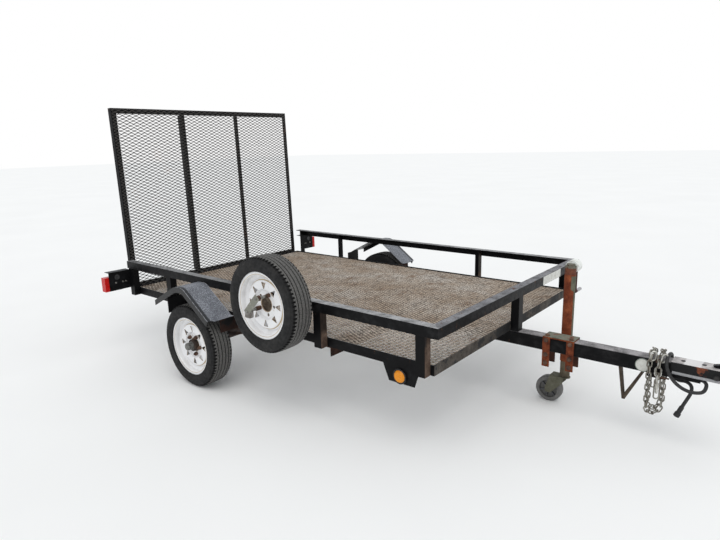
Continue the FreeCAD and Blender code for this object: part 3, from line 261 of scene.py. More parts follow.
def bare_rust(name, dark, mid, light, patch=None, paint=None):
    """Rusty steel, with patches of what is left of its paint."""
    mat = Finish(name)
    colour, height = mat.rust(dark, mid, light)
    if paint:
        colour = mat.blend(mat.patches((11, 7, 0.66), patch, patch + 0.06), colour, paint)
    return mat.done(colour, mat.follow(height, 0.92, 0.68), mat.grainy(height), 0.0009, 0.6)


def bracket_steel(name, black_end):
    """Rusty brown steel plate with black paint left on it. Behind black_end along X it is all black."""
    mat = Finish(name)
    rusty, height = mat.rust((0.012, 0.007, 0.006), (0.032, 0.015, 0.011), (0.07, 0.032, 0.02))
    left = mat.patches((11, 7, 0.66), 0.54, 0.6)
    black = mat.larger(left, mat.band(mat.x, black_end, black_end - 0.01))
    return mat.done(mat.blend(black, rusty, (0.0055, 0.0055, 0.006)), mat.band(black, 0, 1, 0.8, 0.45),
                    height, 0.0007, 0.5, gloss=0.15)


def post_paint(name, start, end, middle):
    """Black posts. Between start and end along X their forward faces have worn through to dull brown rust.
    Those of the middle posts are rusty at their foot."""
    mat = Finish(name)
    rusty, height = mat.rust((0.045, 0.03, 0.023), (0.095, 0.064, 0.048), (0.17, 0.12, 0.092))
    face = mat.band(mat.facing("x"), 0.3, 0.8)
    there = mat.band(mat.x, start - 0.01, start + 0.01) * mat.band(mat.x, end + 0.01, end - 0.01)
    worn = mat.patches((26, 7, 0.7, (1.0, 1.0, 0.35)), 0.34, 0.5)
    low = mat.band(mat.z, GROUND + 0.6, GROUND + 0.46)
    part = mat.math("MULTIPLY", face * there, mat.larger(worn, low), clamp=True)
    foot = face * mat.between(mat.x, middle - 0.02, middle + 0.02)
    depth = mat.band(mat.z, GROUND + 0.51, GROUND + 0.47, 0.22, 0.95)
    part = mat.larger(part, foot * depth)
    amount = mat.larger(part, mat.patches((48, 6, 0.7), 0.67, 0.71))
    return mat.done(mat.blend(amount, (0.0045, 0.0045, 0.005), rusty), mat.band(amount, 0, 1, 0.42, 0.85),
                    mat.noise(210, 3) + height, 0.0005, 0.5, gloss=0.1)


def strand_steel(name):
    """Weathered strands of expanded metal: worn beige-grey on top, rust in patches, and painted shade on
    their sides.
    """
    mat = Finish(name)
    worn = mat.ramp(mat.noise(2.6, 8, 0.66), (0.36, (0.52, 0.405, 0.305)), (0.5, (0.65, 0.55, 0.455)),
                    (0.66, (0.78, 0.72, 0.65)))
    rusty = mat.blend(mat.patches((9, 7, 0.7), 0.5, 0.7), worn, (0.33, 0.215, 0.14))
    grain = mat.blend(mat.patches((260, 5, 0.75), 0.38, 0.58), (0.17, 0.135, 0.105), rusty)
    spots = mat.patches((48, 5, 0.7), 0.52, 0.38, 0.0, 0.62)
    spotted = mat.blend(spots, grain, (0.105, 0.085, 0.07))
    # Faces that don't look up are painted nearly black as shade
    up = mat.band(mat.facing("z"), 0.35, 0.9)
    return mat.done(mat.blend(up, (0.022, 0.017, 0.013), spotted),
                    mat.follow(mat.noise(120, 4), 0.5, 0.8), mat.noise(650, 3), 0.0003, 0.5, gloss=0.3)


def gate_strands(name):
    """The gate's mesh keeps most of its black paint."""
    mat = Finish(name)
    rusty, height = mat.rust()
    worn = mat.patches((5, 7, 0.65), 0.56, 0.7)
    return mat.done(mat.blend(worn * 0.5, (0.05, 0.046, 0.042), rusty),
                    mat.follow(height, 0.45, 0.7), mat.noise(650, 3), 0.0003, 0.4, gloss=0.3)


def rubber(name, centre, outer):
    """Tyre rubber: fine rings and grain on its side, a dusty worn tread, and groove and notch floors
    painted darker as shade.
    """
    mat = Finish(name)
    radius = mat.from_axle(centre)
    dust = mat.patches((14, 7, 0.65), 0.4, 0.75)
    side = mat.blend(dust * 0.5, (0.0095, 0.0095, 0.01), (0.034, 0.032, 0.03))
    worn = mat.band(radius, outer - 0.0042, outer - 0.0018)
    grit = mat.patches((190, 6, 0.75), 0.34, 0.66)
    tread = mat.blend(grit, (0.05, 0.049, 0.048), (0.165, 0.16, 0.152))
    # Groove and notch floors are painted darker than the rubber, as shade
    groove_shade = mat.between(radius, outer - 0.012, outer - 0.004)
    dark = mat.blend(groove_shade, side, (0.006, 0.006, 0.006))
    relief = mat.waves(radius, 0.0035) * 0.1 + mat.noise(500, 4)
    return mat.done(mat.blend(worn, dark, tread), mat.follow(mat.noise(60, 5), 0.6, 0.86), relief,
                    0.00035, 0.6, gloss=0.3)


def wheel_paint(name, centre, edge):
    """White wheel enamel with two fine gold lines, road dirt and rust at its windows."""
    mat = Finish(name)
    radius = mat.from_axle(centre)
    inner = mat.band(abs(radius - edge * 0.735), 0.003, 0.0012)
    outer = mat.band(abs(radius - edge * 0.925), 0.0022, 0.0009)
    line = mat.larger(inner, outer * 0.8) * 0.9
    dirt = mat.patches((13, 8, 0.68), 0.46, 0.76)
    white = mat.blend(dirt * 0.28, (0.87, 0.87, 0.88), (0.42, 0.4, 0.37))
    lined = mat.blend(line, white, (0.4, 0.26, 0.075))
    specks = mat.patches((85, 6, 0.75), 0.665, 0.7)
    bore = mat.band(radius, 0.0455, 0.0425)
    lug = mat.between(radius, 0.044, 0.068) * mat.patches((70, 6, 0.7), 0.6, 0.68)
    stained = mat.blend(mat.larger(bore * 0.8, lug), lined, (0.36, 0.22, 0.085))
    wall = mat.band(abs(mat.facing("y")), 0.35, 0.15)
    window = wall * mat.between(radius, 0.062, edge * 0.73)
    walled = mat.blend(window, stained, (0.3, 0.2, 0.085))
    return mat.done(mat.blend(specks, walled, (0.15, 0.07, 0.035)), mat.band(dirt, 0, 1, 0.28, 0.55),
                    mat.noise(90, 4), 0.0004, 0.35, Coat_Weight=0.25, Coat_Roughness=0.2)


def hub_steel(name, cap_start, sign):
    """A rusty drum whose grease cap is dull grey."""
    mat = Finish(name)
    rusty, height = mat.rust((0.01, 0.007, 0.006), (0.024, 0.014, 0.01), (0.06, 0.032, 0.02))
    out = (mat.y - cap_start) * float(sign)
    cap = mat.band(out, 0.0, 0.003)
    grease = mat.patches((60, 6, 0.7), 0.42, 0.62)
    metal = mat.blend(grease * 0.7, (0.2, 0.2, 0.19), (0.055, 0.05, 0.045))
    return mat.done(mat.blend(cap, rusty, metal), mat.band(cap, 0, 1, 0.85, 0.42), height, 0.0007, 0.5,
                    Metallic=cap * 0.55)


def fender_paint(name, middle, half, sign):
    """Tops speckled white and blue-grey by weather over skirts that are still black. The outer strip of
    each top is left unspeckled and painted darker as the shade of a rounded bend, and a painted highlight
    runs along the edge.
    """
    mat = Finish(name)
    up = mat.band(mat.facing("z"), 0.12, 0.4)
    fine = mat.patches((330, 8, 0.85), 0.47, 0.57)
    coarse = mat.patches((120, 7, 0.8), 0.4, 0.62, 0.25, 1.0)
    broad = mat.noise(9, 6, 0.6)
    weathered = mat.ramp(broad, (0.3, (0.045, 0.05, 0.063)), (0.7, (0.095, 0.105, 0.13)))
    pale = mat.ramp(broad, (0.35, (0.46, 0.48, 0.53)), (0.65, (0.66, 0.68, 0.73)))
    speckled = mat.blend(fine * coarse, weathered, pale)
    across = abs(mat.y - middle)
    out = (mat.y - middle) * float(sign)
    # The outer strip, left unspeckled, is painted dark glossy black as the shade of a rounded bend
    ragged = out + mat.noise(45, 6, 0.7) * 0.016
    bend = mat.band(ragged, half - 0.02, half - 0.012)
    bend_shaded = mat.blend(bend, speckled, (0.012, 0.013, 0.017))
    # A thin pale line along the very edge is a painted highlight
    edge = mat.between(across, half - 0.0035, half + 0.001, 0.001) * mat.patches((60, 6, 0.7), 0.35, 0.55)
    lined = mat.blend(edge * 0.7, bend_shaded, (0.4, 0.41, 0.44))
    black = mat.blend(mat.patches((150, 5), 0.58, 0.68), (0.007, 0.007, 0.0075), (0.03, 0.03, 0.034))
    return mat.done(mat.blend(up, black, lined), mat.band(fine, 0, 1, 0.3, 0.6), mat.noise(330, 8, 0.85),
                    0.0004, 0.5, gloss=0.45)


def galvanised(name, bright=(0.34, 0.33, 0.31), dull=(0.17, 0.155, 0.14), rust=0.58):
    """Zinc-plated steel: fine spangle, dulled, with rust starting in spots."""
    mat = Finish(name)
    grey = mat.blend(mat.patches((40, 5), 0.35, 0.65), bright, dull)
    spots = mat.patches((95, 6, 0.7), rust, rust + 0.08)
    return mat.done(mat.blend(spots * 0.75, grey, mat.rust()[0]),
                    mat.follow(mat.noise(300, 3), 0.32, 0.55), mat.spangle(420), 0.0001, 0.3,
                    Metallic=0.8 - spots * 0.7)


def lens(name, deep, bright, spacing, centre=None, reach=1.0, shelf=0.0):
    """A coloured lamp lens, fluted behind its smooth face. Beyond its reach lies a black rubber ring.
    Its back is black where a shelf reaches over it, out to the shelf's end."""
    mat = Finish(name)
    flutes, beads = mat.waves(mat.z, spacing), mat.waves(mat.y, spacing)
    pattern = mat.band(flutes * beads, -0.8, 0.8)
    grime = mat.patches((70, 6), 0.55, 0.8) * 0.35
    colour = mat.blend(grime, mat.blend(pattern, deep, bright), (0.1, 0.08, 0.06))
    if centre:
        ring = mat.band(mat.from_axle(centre), reach, reach + 0.0006)
        colour = mat.blend(ring, colour, (0.01, 0.01, 0.011))
    if shelf:
        out = abs(mat.y - MIDDLE)
        back = mat.band(mat.facing("x"), 0.4, 0.7) * mat.band(out, shelf + 0.001, shelf)
        colour = mat.blend(back, colour, (0.008, 0.008, 0.009))
    return mat.done(colour, mat.follow(mat.noise(40, 4), 0.24, 0.4), pattern, 0.0003, 0.2,
                    Coat_Weight=0.1, Coat_Roughness=0.15, gloss=0.3)


def moulded(name, colour, worn, rough=0.5, grain=600):
    """Moulded plastic or rubber with a fine grain, scuffed pale in patches."""
    mat = Finish(name)
    scuffs = mat.patches((38, 7, 0.7), 0.48, 0.72) * 0.7
    return mat.done(mat.blend(scuffs, colour, worn),
                    mat.follow(mat.noise(90, 4), rough - 0.08, rough + 0.16), mat.noise(grain, 4),
                    0.0003, 0.5)


OLIVE = (0.085, 0.088, 0.062)


def jack_tube_paint(name, axis):
    """Orange-red rust. Olive paint is left on the side towards the crank, further round on top."""
    mat = Finish(name)
    rusty, height = mat.rust((0.09, 0.018, 0.007), (0.195, 0.043, 0.014), (0.33, 0.092, 0.03))
    around = (mat.x - axis.x) * 0.77 + (mat.y - axis.y) * 0.64
    upper = mat.band(mat.z, GROUND + 0.64, GROUND + 0.662)
    border = 0.012 - upper * 0.017
    worn = (mat.noise(55, 6, 0.7) - 0.5) * 0.012
    left = mat.band(around + worn - border, -0.0008, 0.0008)
    head = mat.band(mat.z, GROUND + 0.731, GROUND + 0.726)
    olive = mat.blend(mat.patches((30, 6), 0.35, 0.65), OLIVE, (0.14, 0.135, 0.095))
    return mat.done(mat.blend(left * head, rusty, olive), mat.follow(height, 0.9, 0.66), height,
                    0.0009, 0.6, gloss=0.3)


def jack_head_paint(name, axis, drum):
    """An olive cap over a rusty collar, a pale gear drum, a dark red crank and a bright grip."""
    mat = Finish(name)
    rusty, height = mat.rust((0.06, 0.018, 0.011), (0.135, 0.04, 0.02), (0.24, 0.08, 0.035))
    out = mat.y - axis.y
    rise = mat.z - drum
    worn = mat.noise(60, 7, 0.7)
    cap = mat.band(rise, -0.004, 0.002) * mat.band(worn, 0.62, 0.54)
    olive = mat.blend(mat.band(worn, 0.35, 0.6), OLIVE, (0.17, 0.165, 0.13))
    capped = mat.blend(cap, rusty, olive)
    pale = mat.blend(mat.patches((34, 6, 0.65), 0.52, 0.75), (0.82, 0.84, 0.81), (0.42, 0.41, 0.35))
    drummed = mat.blend(mat.between(out, 0.015, 0.0755), capped, pale)
    crank = mat.blend(worn, (0.035, 0.011, 0.01), (0.085, 0.028, 0.022))
    cranked = mat.blend(mat.band(out, 0.0758, 0.0766), drummed, crank)
    bright = mat.blend(worn, (0.3, 0.29, 0.31), (0.55, 0.53, 0.54))
    grip = mat.band(out, 0.104, 0.1056) * mat.band(rise, -0.1, -0.11)
    return mat.done(mat.blend(grip, cranked, bright), mat.follow(height, 0.8, 0.52), height, 0.0006,
                    0.5, gloss=0.35)


def clamp_paint(name):
    """Rusty orange straps under a plate that keeps its olive paint and moss. The straps' far side is
    painted dark as shade under the tongue.
    """
    mat = Finish(name)
    rusty, height = mat.rust((0.058, 0.012, 0.005), (0.155, 0.033, 0.01), (0.27, 0.072, 0.022))
    up = mat.band(mat.facing("z"), 0.6, 0.9)
    plate = mat.ramp(mat.noise(17, 7, 0.66), (0.38, (0.085, 0.095, 0.07)), (0.52, (0.2, 0.205, 0.165)),
                     (0.64, (0.16, 0.055, 0.03)))
    # Beyond the tongue's middle the straps are painted dark as shade
    far = mat.band(mat.y, MIDDLE + 0.02, MIDDLE + 0.03)
    strap = mat.blend(far * 0.75, rusty, (0.016, 0.01, 0.008))
    return mat.done(mat.blend(up, strap, plate), mat.follow(height, 0.92, 0.68), mat.grainy(height),
                    0.0009, 0.6, gloss=0.3)


def coupler_paint(name, patch):
    """Black paint bleached pale on top and made paler there as painted sky sheen, with a bright patch of
    bare steel and painted highlight there, and a rust patch on the side.
    """
    mat = Finish(name)
    up = mat.band(mat.facing("z"), 0.5, 0.9)
    # The pale top is bleached paint and painted sky sheen
    blotches = mat.noise(26, 8, 0.7)
    top = mat.ramp(blotches, (0.36, (0.24, 0.23, 0.235)), (0.5, (0.44, 0.415, 0.41)),
                   (0.64, (0.6, 0.57, 0.56)))
    # The bright patch on top: bare steel, brightened as a painted highlight
    bare_and_sheen_patch = mat.between(mat.x, patch.x - 0.07, patch.x - 0.008, 0.008)
    top_with_sheen = mat.blend(bare_and_sheen_patch * 0.8, top, (0.78, 0.77, 0.77))
    paint = mat.blend(mat.band(blotches, 0.58, 0.72), (0.006, 0.006, 0.0065), (0.035, 0.03, 0.027))
    rusty = mat.rust((0.05, 0.016, 0.009), (0.15, 0.04, 0.018), (0.25, 0.08, 0.032))[0]
    ragged = mat.from_axle(patch) + mat.noise(48, 7, 0.75) * 0.085
    side = mat.blend(mat.band(ragged, 0.066, 0.058), paint, rusty)
    return mat.done(mat.blend(up, side, top_with_sheen), mat.follow(blotches, 0.45, 0.7),
                    mat.noise(210, 4), 0.0005, 0.5, gloss=0.25)


def carrier_paint(name, tip):
    """The spare wheel's holder: a dark rusty plate, and studs that are bare and grey towards their tips."""
    mat = Finish(name)
    rusty, height = mat.rust((0.012, 0.01, 0.008), (0.06, 0.042, 0.028), (0.16, 0.13, 0.095))
    out = mat.band(mat.y, tip + 0.066, tip + 0.06)
    grey = mat.blend(mat.patches((90, 6, 0.7), 0.35, 0.65), (0.13, 0.125, 0.11), (0.3, 0.3, 0.28))
    return mat.done(mat.blend(out, rusty, grey), mat.follow(height, 0.85, 0.6), height, 0.0006, 0.5,
                    gloss=0.3)


def rusty_brown(name):
    return bare_rust(name, (0.03, 0.018, 0.014), (0.09, 0.045, 0.028), (0.17, 0.09, 0.055))


def pale_label(name):
    """A blank label or tag: off-white, yellowed and scuffed."""
    mat = Finish(name)
    stain = mat.patches((45, 7, 0.68), 0.42, 0.72)
    return mat.done(mat.blend(stain * 0.55, (0.66, 0.66, 0.62), (0.36, 0.33, 0.27)),
                    mat.band(stain, 0, 1, 0.35, 0.62), mat.noise(160, 4), 0.0002, 0.4)


# Meshes


def angles(count):
    return [2 * pi * k / count for k in range(count)]


def half_turn(steps):
    return [pi * k / steps for k in range(steps + 1)]


def ring_outline(radius, count):
    return [(radius * cos(angle), radius * sin(angle)) for angle in angles(count)]


class Mesh:
    """Vertices and faces gathered from several small shapes."""

    def __init__(self):
        self.vertices = []
        self.faces = []

    def skin(self, rings, closed=False, caps=False):
        """A skin through rings of points. The last ring may join the first, or the end rings get caps."""
        start = len(self.vertices)
        count = len(rings[0])
        for ring in rings:
            self.vertices.extend(ring)
        for i in range(len(rings) if closed else len(rings) - 1):
            here = start + i * count
            there = start + ((i + 1) % len(rings)) * count
            for j in range(count):
                beside = (j + 1) % count
                self.faces.append((here + j, here + beside, there + beside, there + j))
        if caps:
            self.faces.append(tuple(start + j for j in reversed(range(count))))
            self.faces.append(tuple(start + (len(rings) - 1) * count + j for j in range(count)))

    def prism(self, centre, axis, outline, heights, side=None):
        """A stack of outlines along an axis: heights of (distance, share of the outline's size)."""
        axis = Vector(axis).normalized()
        side = Vector(side) if side else axis.orthogonal().normalized()
        other = axis.cross(side)
        self.skin([[centre + axis * far + (side * u + other * v) * share for u, v in outline]
                   for far, share in heights], caps=True)

    def tube(self, path, radius, sides, closed=False):
        """A round bar along a path of points, with caps where it isn't closed."""
        rings = []
        normal = None
        count = len(path)
        for i, point in enumerate(path):
            before = path[i - 1] if closed or i else path[i]
            after = path[(i + 1) % count] if closed or i < count - 1 else path[i]
            tangent = (after - before).normalized()
            normal = tangent.orthogonal() if normal is None else normal - tangent * normal.dot(tangent)
            normal.normalize()
            other = tangent.cross(normal)
            rings.append([point + (normal * cos(angle) + other * sin(angle)) * radius
                          for angle in angles(sides)])
        self.skin(rings, closed, caps=not closed)

    def make(self, name, material, body="chassis", sharp=35):
        """The mesh as an object in the frame's place, with its material and body."""
        mesh = bpy.data.meshes.new(name)
        mesh.from_pydata([tuple(v) for v in self.vertices], [], self.faces)
        mesh.validate()
        mesh.update()
        mesh.shade_smooth()
        mesh.set_sharp_from_angle(angle=radians(sharp))
        mesh.materials.append(material)
        thing = placed(name, mesh)
        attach(thing, body)
        return thing


def hex_head(shape, centre, axis, across, height, washer=0.0, stud=0.0):
    """A hexagonal nut or bolt head with worn corners, its washer and the end of its thread."""
    axis = Vector(axis).normalized()
    if washer:
        shape.prism(centre, axis, ring_outline(washer, 24), [(0, 1), (0.0016, 1), (0.002, 0.96)])
        centre = centre + axis * 0.0018
    corner = across / sqrt(3)
    shape.prism(centre, axis, ring_outline(corner, 6), [(0, 1), (height * 0.82, 1), (height, 0.86)])
    if stud:
        turns = 5
        thread = [(-stud * (1 - k / (2 * turns)), 1.0 if k % 2 else 0.9) for k in range(2 * turns + 1)]
        shape.prism(centre + axis * (height + stud), axis, ring_outline(across * 0.29, 12), thread)


def plate(shape, corner, along, across, thick, bevel=0.0):
    """A thin plate between a corner and its two edges, standing off along their normal."""
    normal = along.cross(across).normalized() * thick
    ends = [corner, corner + along, corner + along + across, corner + across]
    middle = sum(ends, Vector()) / 4
    shape.skin([ends, [p + normal + (middle - p) * bevel for p in ends]], caps=True)


# Directions in the frame
AHEAD = Vector((1, 0, 0))
LEFTWARD = Vector((0, 1, 0))
RIGHTWARD = Vector((0, -1, 0))
UPWARD = Vector((0, 0, 1))
DOWNWARD = Vector((0, 0, -1))

# A bolt's head: the width across its flats, its height and its washer's radius
BOLT = (0.019, 0.009, 0.0125)


# Expanded metal

LONG_PITCH = 0.0508
SHORT_PITCH = 0.0234
STRAND_WIDE = 0.0044
STRAND_THICK = 0.003
STRAND_TILT = radians(28)
# How far the gate, when upright, leans to the rear
GATE_LEAN = radians(1.6)


def strands(shape, corner, along, across, length, width):
    """Zigzag strands that meet at their tips, each one tilted as the press leaves it."""
    normal = along.cross(across).normalized()
    rows = round(width / (SHORT_PITCH / 2))
    step = width / rows
    half_cells = round(length / (LONG_PITCH / 2))
    reach = length / half_cells
    wide = (across * cos(STRAND_TILT) + normal * sin(STRAND_TILT)) * (STRAND_WIDE / 2)
    thick = (normal * cos(STRAND_TILT) - across * sin(STRAND_TILT)) * (STRAND_THICK / 2)
    section = [wide + thick, -wide + thick, -wide - thick, wide - thick]
    tip = STRAND_WIDE * 0.35
    for row in range(rows):
        low, high = step * row + tip, step * (row + 1) - tip
        rings = []
        for k in range(half_cells + 1):
            middle = corner + along * (reach * k) + across * (high if (k + row) % 2 else low)
            rings.append([middle + offset for offset in section])
        shape.skin(rings)


def floor_mesh():
    low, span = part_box("floor_mesh")[0], span_of("floor_mesh")
    shape = Mesh()
    corner = Vector((low.x, low.y, centre_of("floor_mesh").z))
    strands(shape, corner, AHEAD, LEFTWARD, span.x, span.y)
    thing = shape.make("expanded_floor", strand_steel("floor_strands"), sharp=60)
    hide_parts("floor_mesh")


def gate_mesh():
    """The mesh lies on the front of the gate's frame. Its ends come from the leaning node's corners."""
    points = [v.co for v in nodes["gate_mesh"].data.vertices]
    up = Vector((-sin(GATE_LEAN), 0, cos(GATE_LEAN)))
    ahead = Vector((cos(GATE_LEAN), 0, sin(GATE_LEAN)))
    rise = [p.dot(up) for p in points]
    depth = [p.dot(ahead) for p in points]
    low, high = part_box("gate_mesh")
    corner = up * min(rise) + ahead * ((min(depth) + max(depth)) / 2) + Vector((0, high.y, 0))
    shape = Mesh()
    strands(shape, corner, RIGHTWARD, up, high.y - low.y, max(rise) - min(rise))
    thing = shape.make("expanded_gate", gate_strands("gate_strands"), "ramp_gate", 60)
    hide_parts("gate_mesh")


# Wheels

LUG_CIRCLE = 0.05715
LUG_SEAT = 0.022
BEAD = 0.166
PITCHES = 76
# Steps through one pitch of the tread, and whether the shoulder is notched there
STEPS = ((0.0, False), (0.5, False), (0.55, True), (0.95, True))
GROOVES = (0.0125, 0.0345)
GROOVE_DEEP, GROOVE_HALF, GROOVE_SWING = 0.007, 0.003, 0.0022
NOTCH = 0.0085
CROWN = 0.0035
# The side wall as (distance from the tyre's middle, depth under its tread), where 0 is the tyre's full half
# width, and the inside as (distance from the middle, radius)
SIDE_WALL = ((0.066, 0.0125), (0.07, 0.024), (0.0705, 0.025), (0.0722, 0.0262), (0, 0.04), (0, 0.048),
             (0.0718, 0.06), (0.07, 0.068), (0.0702, 0.07), (0.0672, 0.077), (0.0655, 0.0775))
INSIDE = [(0.0628, 0.1815), (0.0605, 0.18), (0.047, BEAD), (0.0, BEAD)]


def tyre(node, body, material):
    """A tyre turned about its axle, with four zigzag grooves and notched shoulders in its tread."""
    span, middle = span_of(node), centre_of(node)
    outer, half = span.z / 2, span.y / 2
    side = [(y or half, outer - depth) for y, depth in SIDE_WALL] + INSIDE
    rings = []
    for pitch in range(PITCHES):
        for share, notched in STEPS:
            angle = 2 * pi * (pitch + share) / PITCHES
            wave = GROOVE_SWING * (1 - 4 * abs(((share + 0.25) % 1) - 0.5))
            profile = []
            for place in GROOVES:
                start, end = place + wave - GROOVE_HALF, place + wave + GROOVE_HALF
                profile += [(start, 0.0), (start + 0.0005, GROOVE_DEEP)]
                profile += [(end - 0.0005, GROOVE_DEEP), (end, 0.0)]
            edge = NOTCH if notched else 0.0
            profile += [(0.0465, 0.0), (0.0475, edge), (0.056, edge), (0.061, 0.004 + edge * 0.8)]
            right = [(y, outer - depth - CROWN * (y / half) ** 2) for y, depth in profile] + side
            ring = [(-y, r) for y, r in reversed(right[:-1])] + right
            rings.append([Vector((middle.x + r * cos(angle), middle.y + y, middle.z + r * sin(angle)))
                          for y, r in ring])
    shape = Mesh()
    shape.skin(rings, closed=True)
    thing = shape.make("treaded_" + node, material, body, 40)
    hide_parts(node)


def lug_angle(number):
    """Where on its circle one of a wheel's five studs stands."""
    return radians(64 + 72 * number)


def lug_nuts(name, node, body, sign, material):
    """Five nuts on the studs, on the wheel disc's mounting face."""
    shape = Mesh()
    for number in range(5):
        angle = lug_angle(number)
        offset = Vector((LUG_CIRCLE * cos(angle), sign * LUG_SEAT, LUG_CIRCLE * sin(angle)))
        hex_head(shape, centre_of(node) + offset, (0, sign, 0), 0.0205, 0.016, 0.0, 0.006)
    shape.make(name, material, body)


# Chains

LINK_WIRE = 0.0032


def vertex_groups(cleaned):
    """The vertices of each piece that hangs together."""
    seen = set()
    for first in cleaned.verts:
        if first in seen:
            continue
        seen.add(first)
        group = [first]
        for vertex in group:
            for edge in vertex.link_edges:
                other = edge.other_vert(vertex)
                if other not in seen:
                    seen.add(other)
                    group.append(other)
        yield group


def chain_links(material):
    """A round link in the place of each link of the chains."""
    cleaned = bmesh.new()
    cleaned.from_mesh(nodes["safety_chains"].data)
    bmesh.ops.remove_doubles(cleaned, verts=cleaned.verts, dist=1e-5)
    shape = Mesh()
    for group in vertex_groups(cleaned):
        points = np.array([v.co for v in group])
        middle = points.mean(0)
        axes = np.linalg.eigh(np.cov((points - middle).T))[1]
        reach = np.abs((points - middle) @ axes).max(0)
        bend = reach[1] - LINK_WIRE
        straight = reach[2] - LINK_WIRE - bend
        path = []
        for angle in angles(20):
            far = straight if cos(angle) > 0 else -straight
            offset = axes[:, 2] * (far + bend * cos(angle)) + axes[:, 1] * (bend * sin(angle))
            path.append(Vector(middle + offset))
        shape.tube(path, LINK_WIRE, 8, closed=True)
    cleaned.free()
    thing = shape.make("chain_links", material, sharp=60)
    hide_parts("safety_chains")


def oval_link(shape, top, bottom, across, wide, wire):
    """A long link between its two ends' outer edges, with two straight sides."""
    along = (bottom - top).normalized()
    bend = wide / 2 - wire
    first, last = top + along * (wire + bend), bottom - along * (wire + bend)
    path = [(last if cos(angle) > 0 else first) + along * (bend * cos(angle))
            + across * (bend * sin(angle)) for angle in angles(24)]
    shape.tube(path, wire, 10, closed=True)


def chain_fittings(metal, rust):
    """The bolt the chains hang from, a short link, a long link and the quick link with its nut."""
    shape = Mesh()
    oval_link(shape, at(3.3184, -0.047, 0.4086), at(3.3172, -0.047, 0.37), LEFTWARD, 0.024, 0.0032)
    oval_link(shape, at(3.3205, -0.052, 0.379), at(3.3185, -0.052, 0.3246), AHEAD, 0.034, 0.0038)
    side = Vector((-0.3, 0.95, 0)).normalized()
    top, bottom = at(3.3182, -0.056, 0.3436), at(3.3199, -0.056, 0.244)
    oval_link(shape, top, bottom, side, 0.027, 0.0054)
    hex_head(shape, top.lerp(bottom, 0.45) - side * 0.0081, DOWNWARD, 0.0155, 0.022)
    shape.make("quick_link", metal, sharp=60)
    shape = Mesh()
    lean = Vector((0.85, 0.5, 0)).normalized()
    oval_link(shape, at(3.2945, -0.043, 0.449), at(3.2905, -0.046, 0.396), lean, 0.032, 0.004)
    oval_link(shape, at(3.344, -0.043, 0.445), at(3.333, -0.046, 0.396), lean, 0.028, 0.004)
    shape.make("large_links", metal, sharp=60)
    shape = Mesh()
    hex_head(shape, having(at(3.3126, 0, 0.401), y=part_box("tongue")[0].y), RIGHTWARD, 0.017, 0.01, 0.012)
    shape.tube([at(3.3, -0.03, 0.3215), at(3.33, -0.031, 0.3187), at(3.364, -0.031, 0.3199)], 0.0042, 8)
    shape.make("anchor_bolt", rust)


# The wiring

CORD_RADIUS = 0.008
CORD_POINTS = [
    (3.47, -0.018, 0.3435), (3.516, -0.024, 0.348), (3.514, -0.045, 0.299), (3.478, -0.054, 0.288),
    (3.44, -0.058, 0.292), (3.402, -0.06, 0.312), (3.372, -0.06, 0.345), (3.353, -0.06, 0.388),
    (3.351, -0.053, 0.425), (3.353, -0.006, 0.436), (3.354, 0.044, 0.421), (3.354, 0.06, 0.372),
    (3.36, 0.054, 0.322), (3.388, 0.026, 0.298), (3.428, 0.006, 0.314), (3.457, -0.005, 0.3),
    (3.455, -0.008, 0.262), (3.44, -0.012, 0.226), (3.426, -0.016, 0.19),
]


def wiring():
    curve = having(bpy.data.curves.new("wiring", "CURVE"), dimensions="3D", resolution_u=16,
                   bevel_depth=CORD_RADIUS, bevel_resolution=5, use_fill_caps=True)
    spline = curve.splines.new("NURBS")
    spline.points.add(len(CORD_POINTS) - 1)
    for point, place in zip(spline.points, CORD_POINTS):
        point.co = (*at(*place), 1)
    spline.order_u = 3
    spline.use_endpoint_u = True
    curve.materials.append(moulded("cord_sleeve", (0.012, 0.012, 0.013), (0.045, 0.043, 0.04), 0.52, 300))
    thing = placed("wiring", curve)
    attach(thing, "chassis")
    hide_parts("wiring_cord")
    return thing


def plug():
    """The round connector on the wiring's end: ribbed grip, collar and face."""
    end, before = at(*CORD_POINTS[-1]), at(*CORD_POINTS[-2])
    rings = [(-0.012, 0.62), (-0.004, 0.74), (0.0, 0.95)]
    for rib in range(7):
        start = rib * 0.0044
        rings += [(0.002 + start, 1.0), (0.0042 + start, 0.92)]
    rings += [(0.034, 1.0), (0.0345, 1.27), (0.0515, 1.27), (0.0535, 1.2), (0.0535, 0.9), (0.0505, 0.88)]
    shape = Mesh()
    shape.prism(end, (end - before).normalized(), ring_outline(0.011, 32), rings)
    grip = moulded("plug_grip", (0.014, 0.014, 0.015), (0.06, 0.058, 0.055), 0.55)
    thing = shape.make("connector", grip)
    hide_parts("wiring_plug")
    return thing


# Small fittings


def caster_ribs(material):
    """Six ribs on each side of the caster wheel's web."""
    middle = centre_of("caster_wheel")
    hub, rim, half_rib, web, out = 0.018, 0.0515, 0.0016, 0.0055, 0.0185
    shape = Mesh()
    for sign in (-1, 1):
        for k in range(6):
            angle = radians(18 + 60 * k)
            spoke = Vector((cos(angle), 0, sin(angle)))
            side = Vector((-spoke.z, 0, spoke.x)) * half_rib
            rings = []
            for depth in (web, out):
                base = middle + Vector((0, sign * depth, 0))
                inner, outer = base + spoke * hub, base + spoke * rim
                rings.append([inner - side, outer - side, outer + side, inner + side])
            shape.skin(rings, caps=True)
    shape.make("caster_ribs", material, "caster_roller")


def coupler_lip(material):
    """The rolled lower edge of the coupler's right side."""
    side, radius = -0.0435, 0.0068
    edge = ((3.3755, 0.3615), (3.42, 0.361), (3.47, 0.3605), (3.5656, 0.36))
    shape = Mesh()
    shape.tube([at(x, side, z) for x, z in edge], radius, 12)
    shape.make("coupler_lip", material)


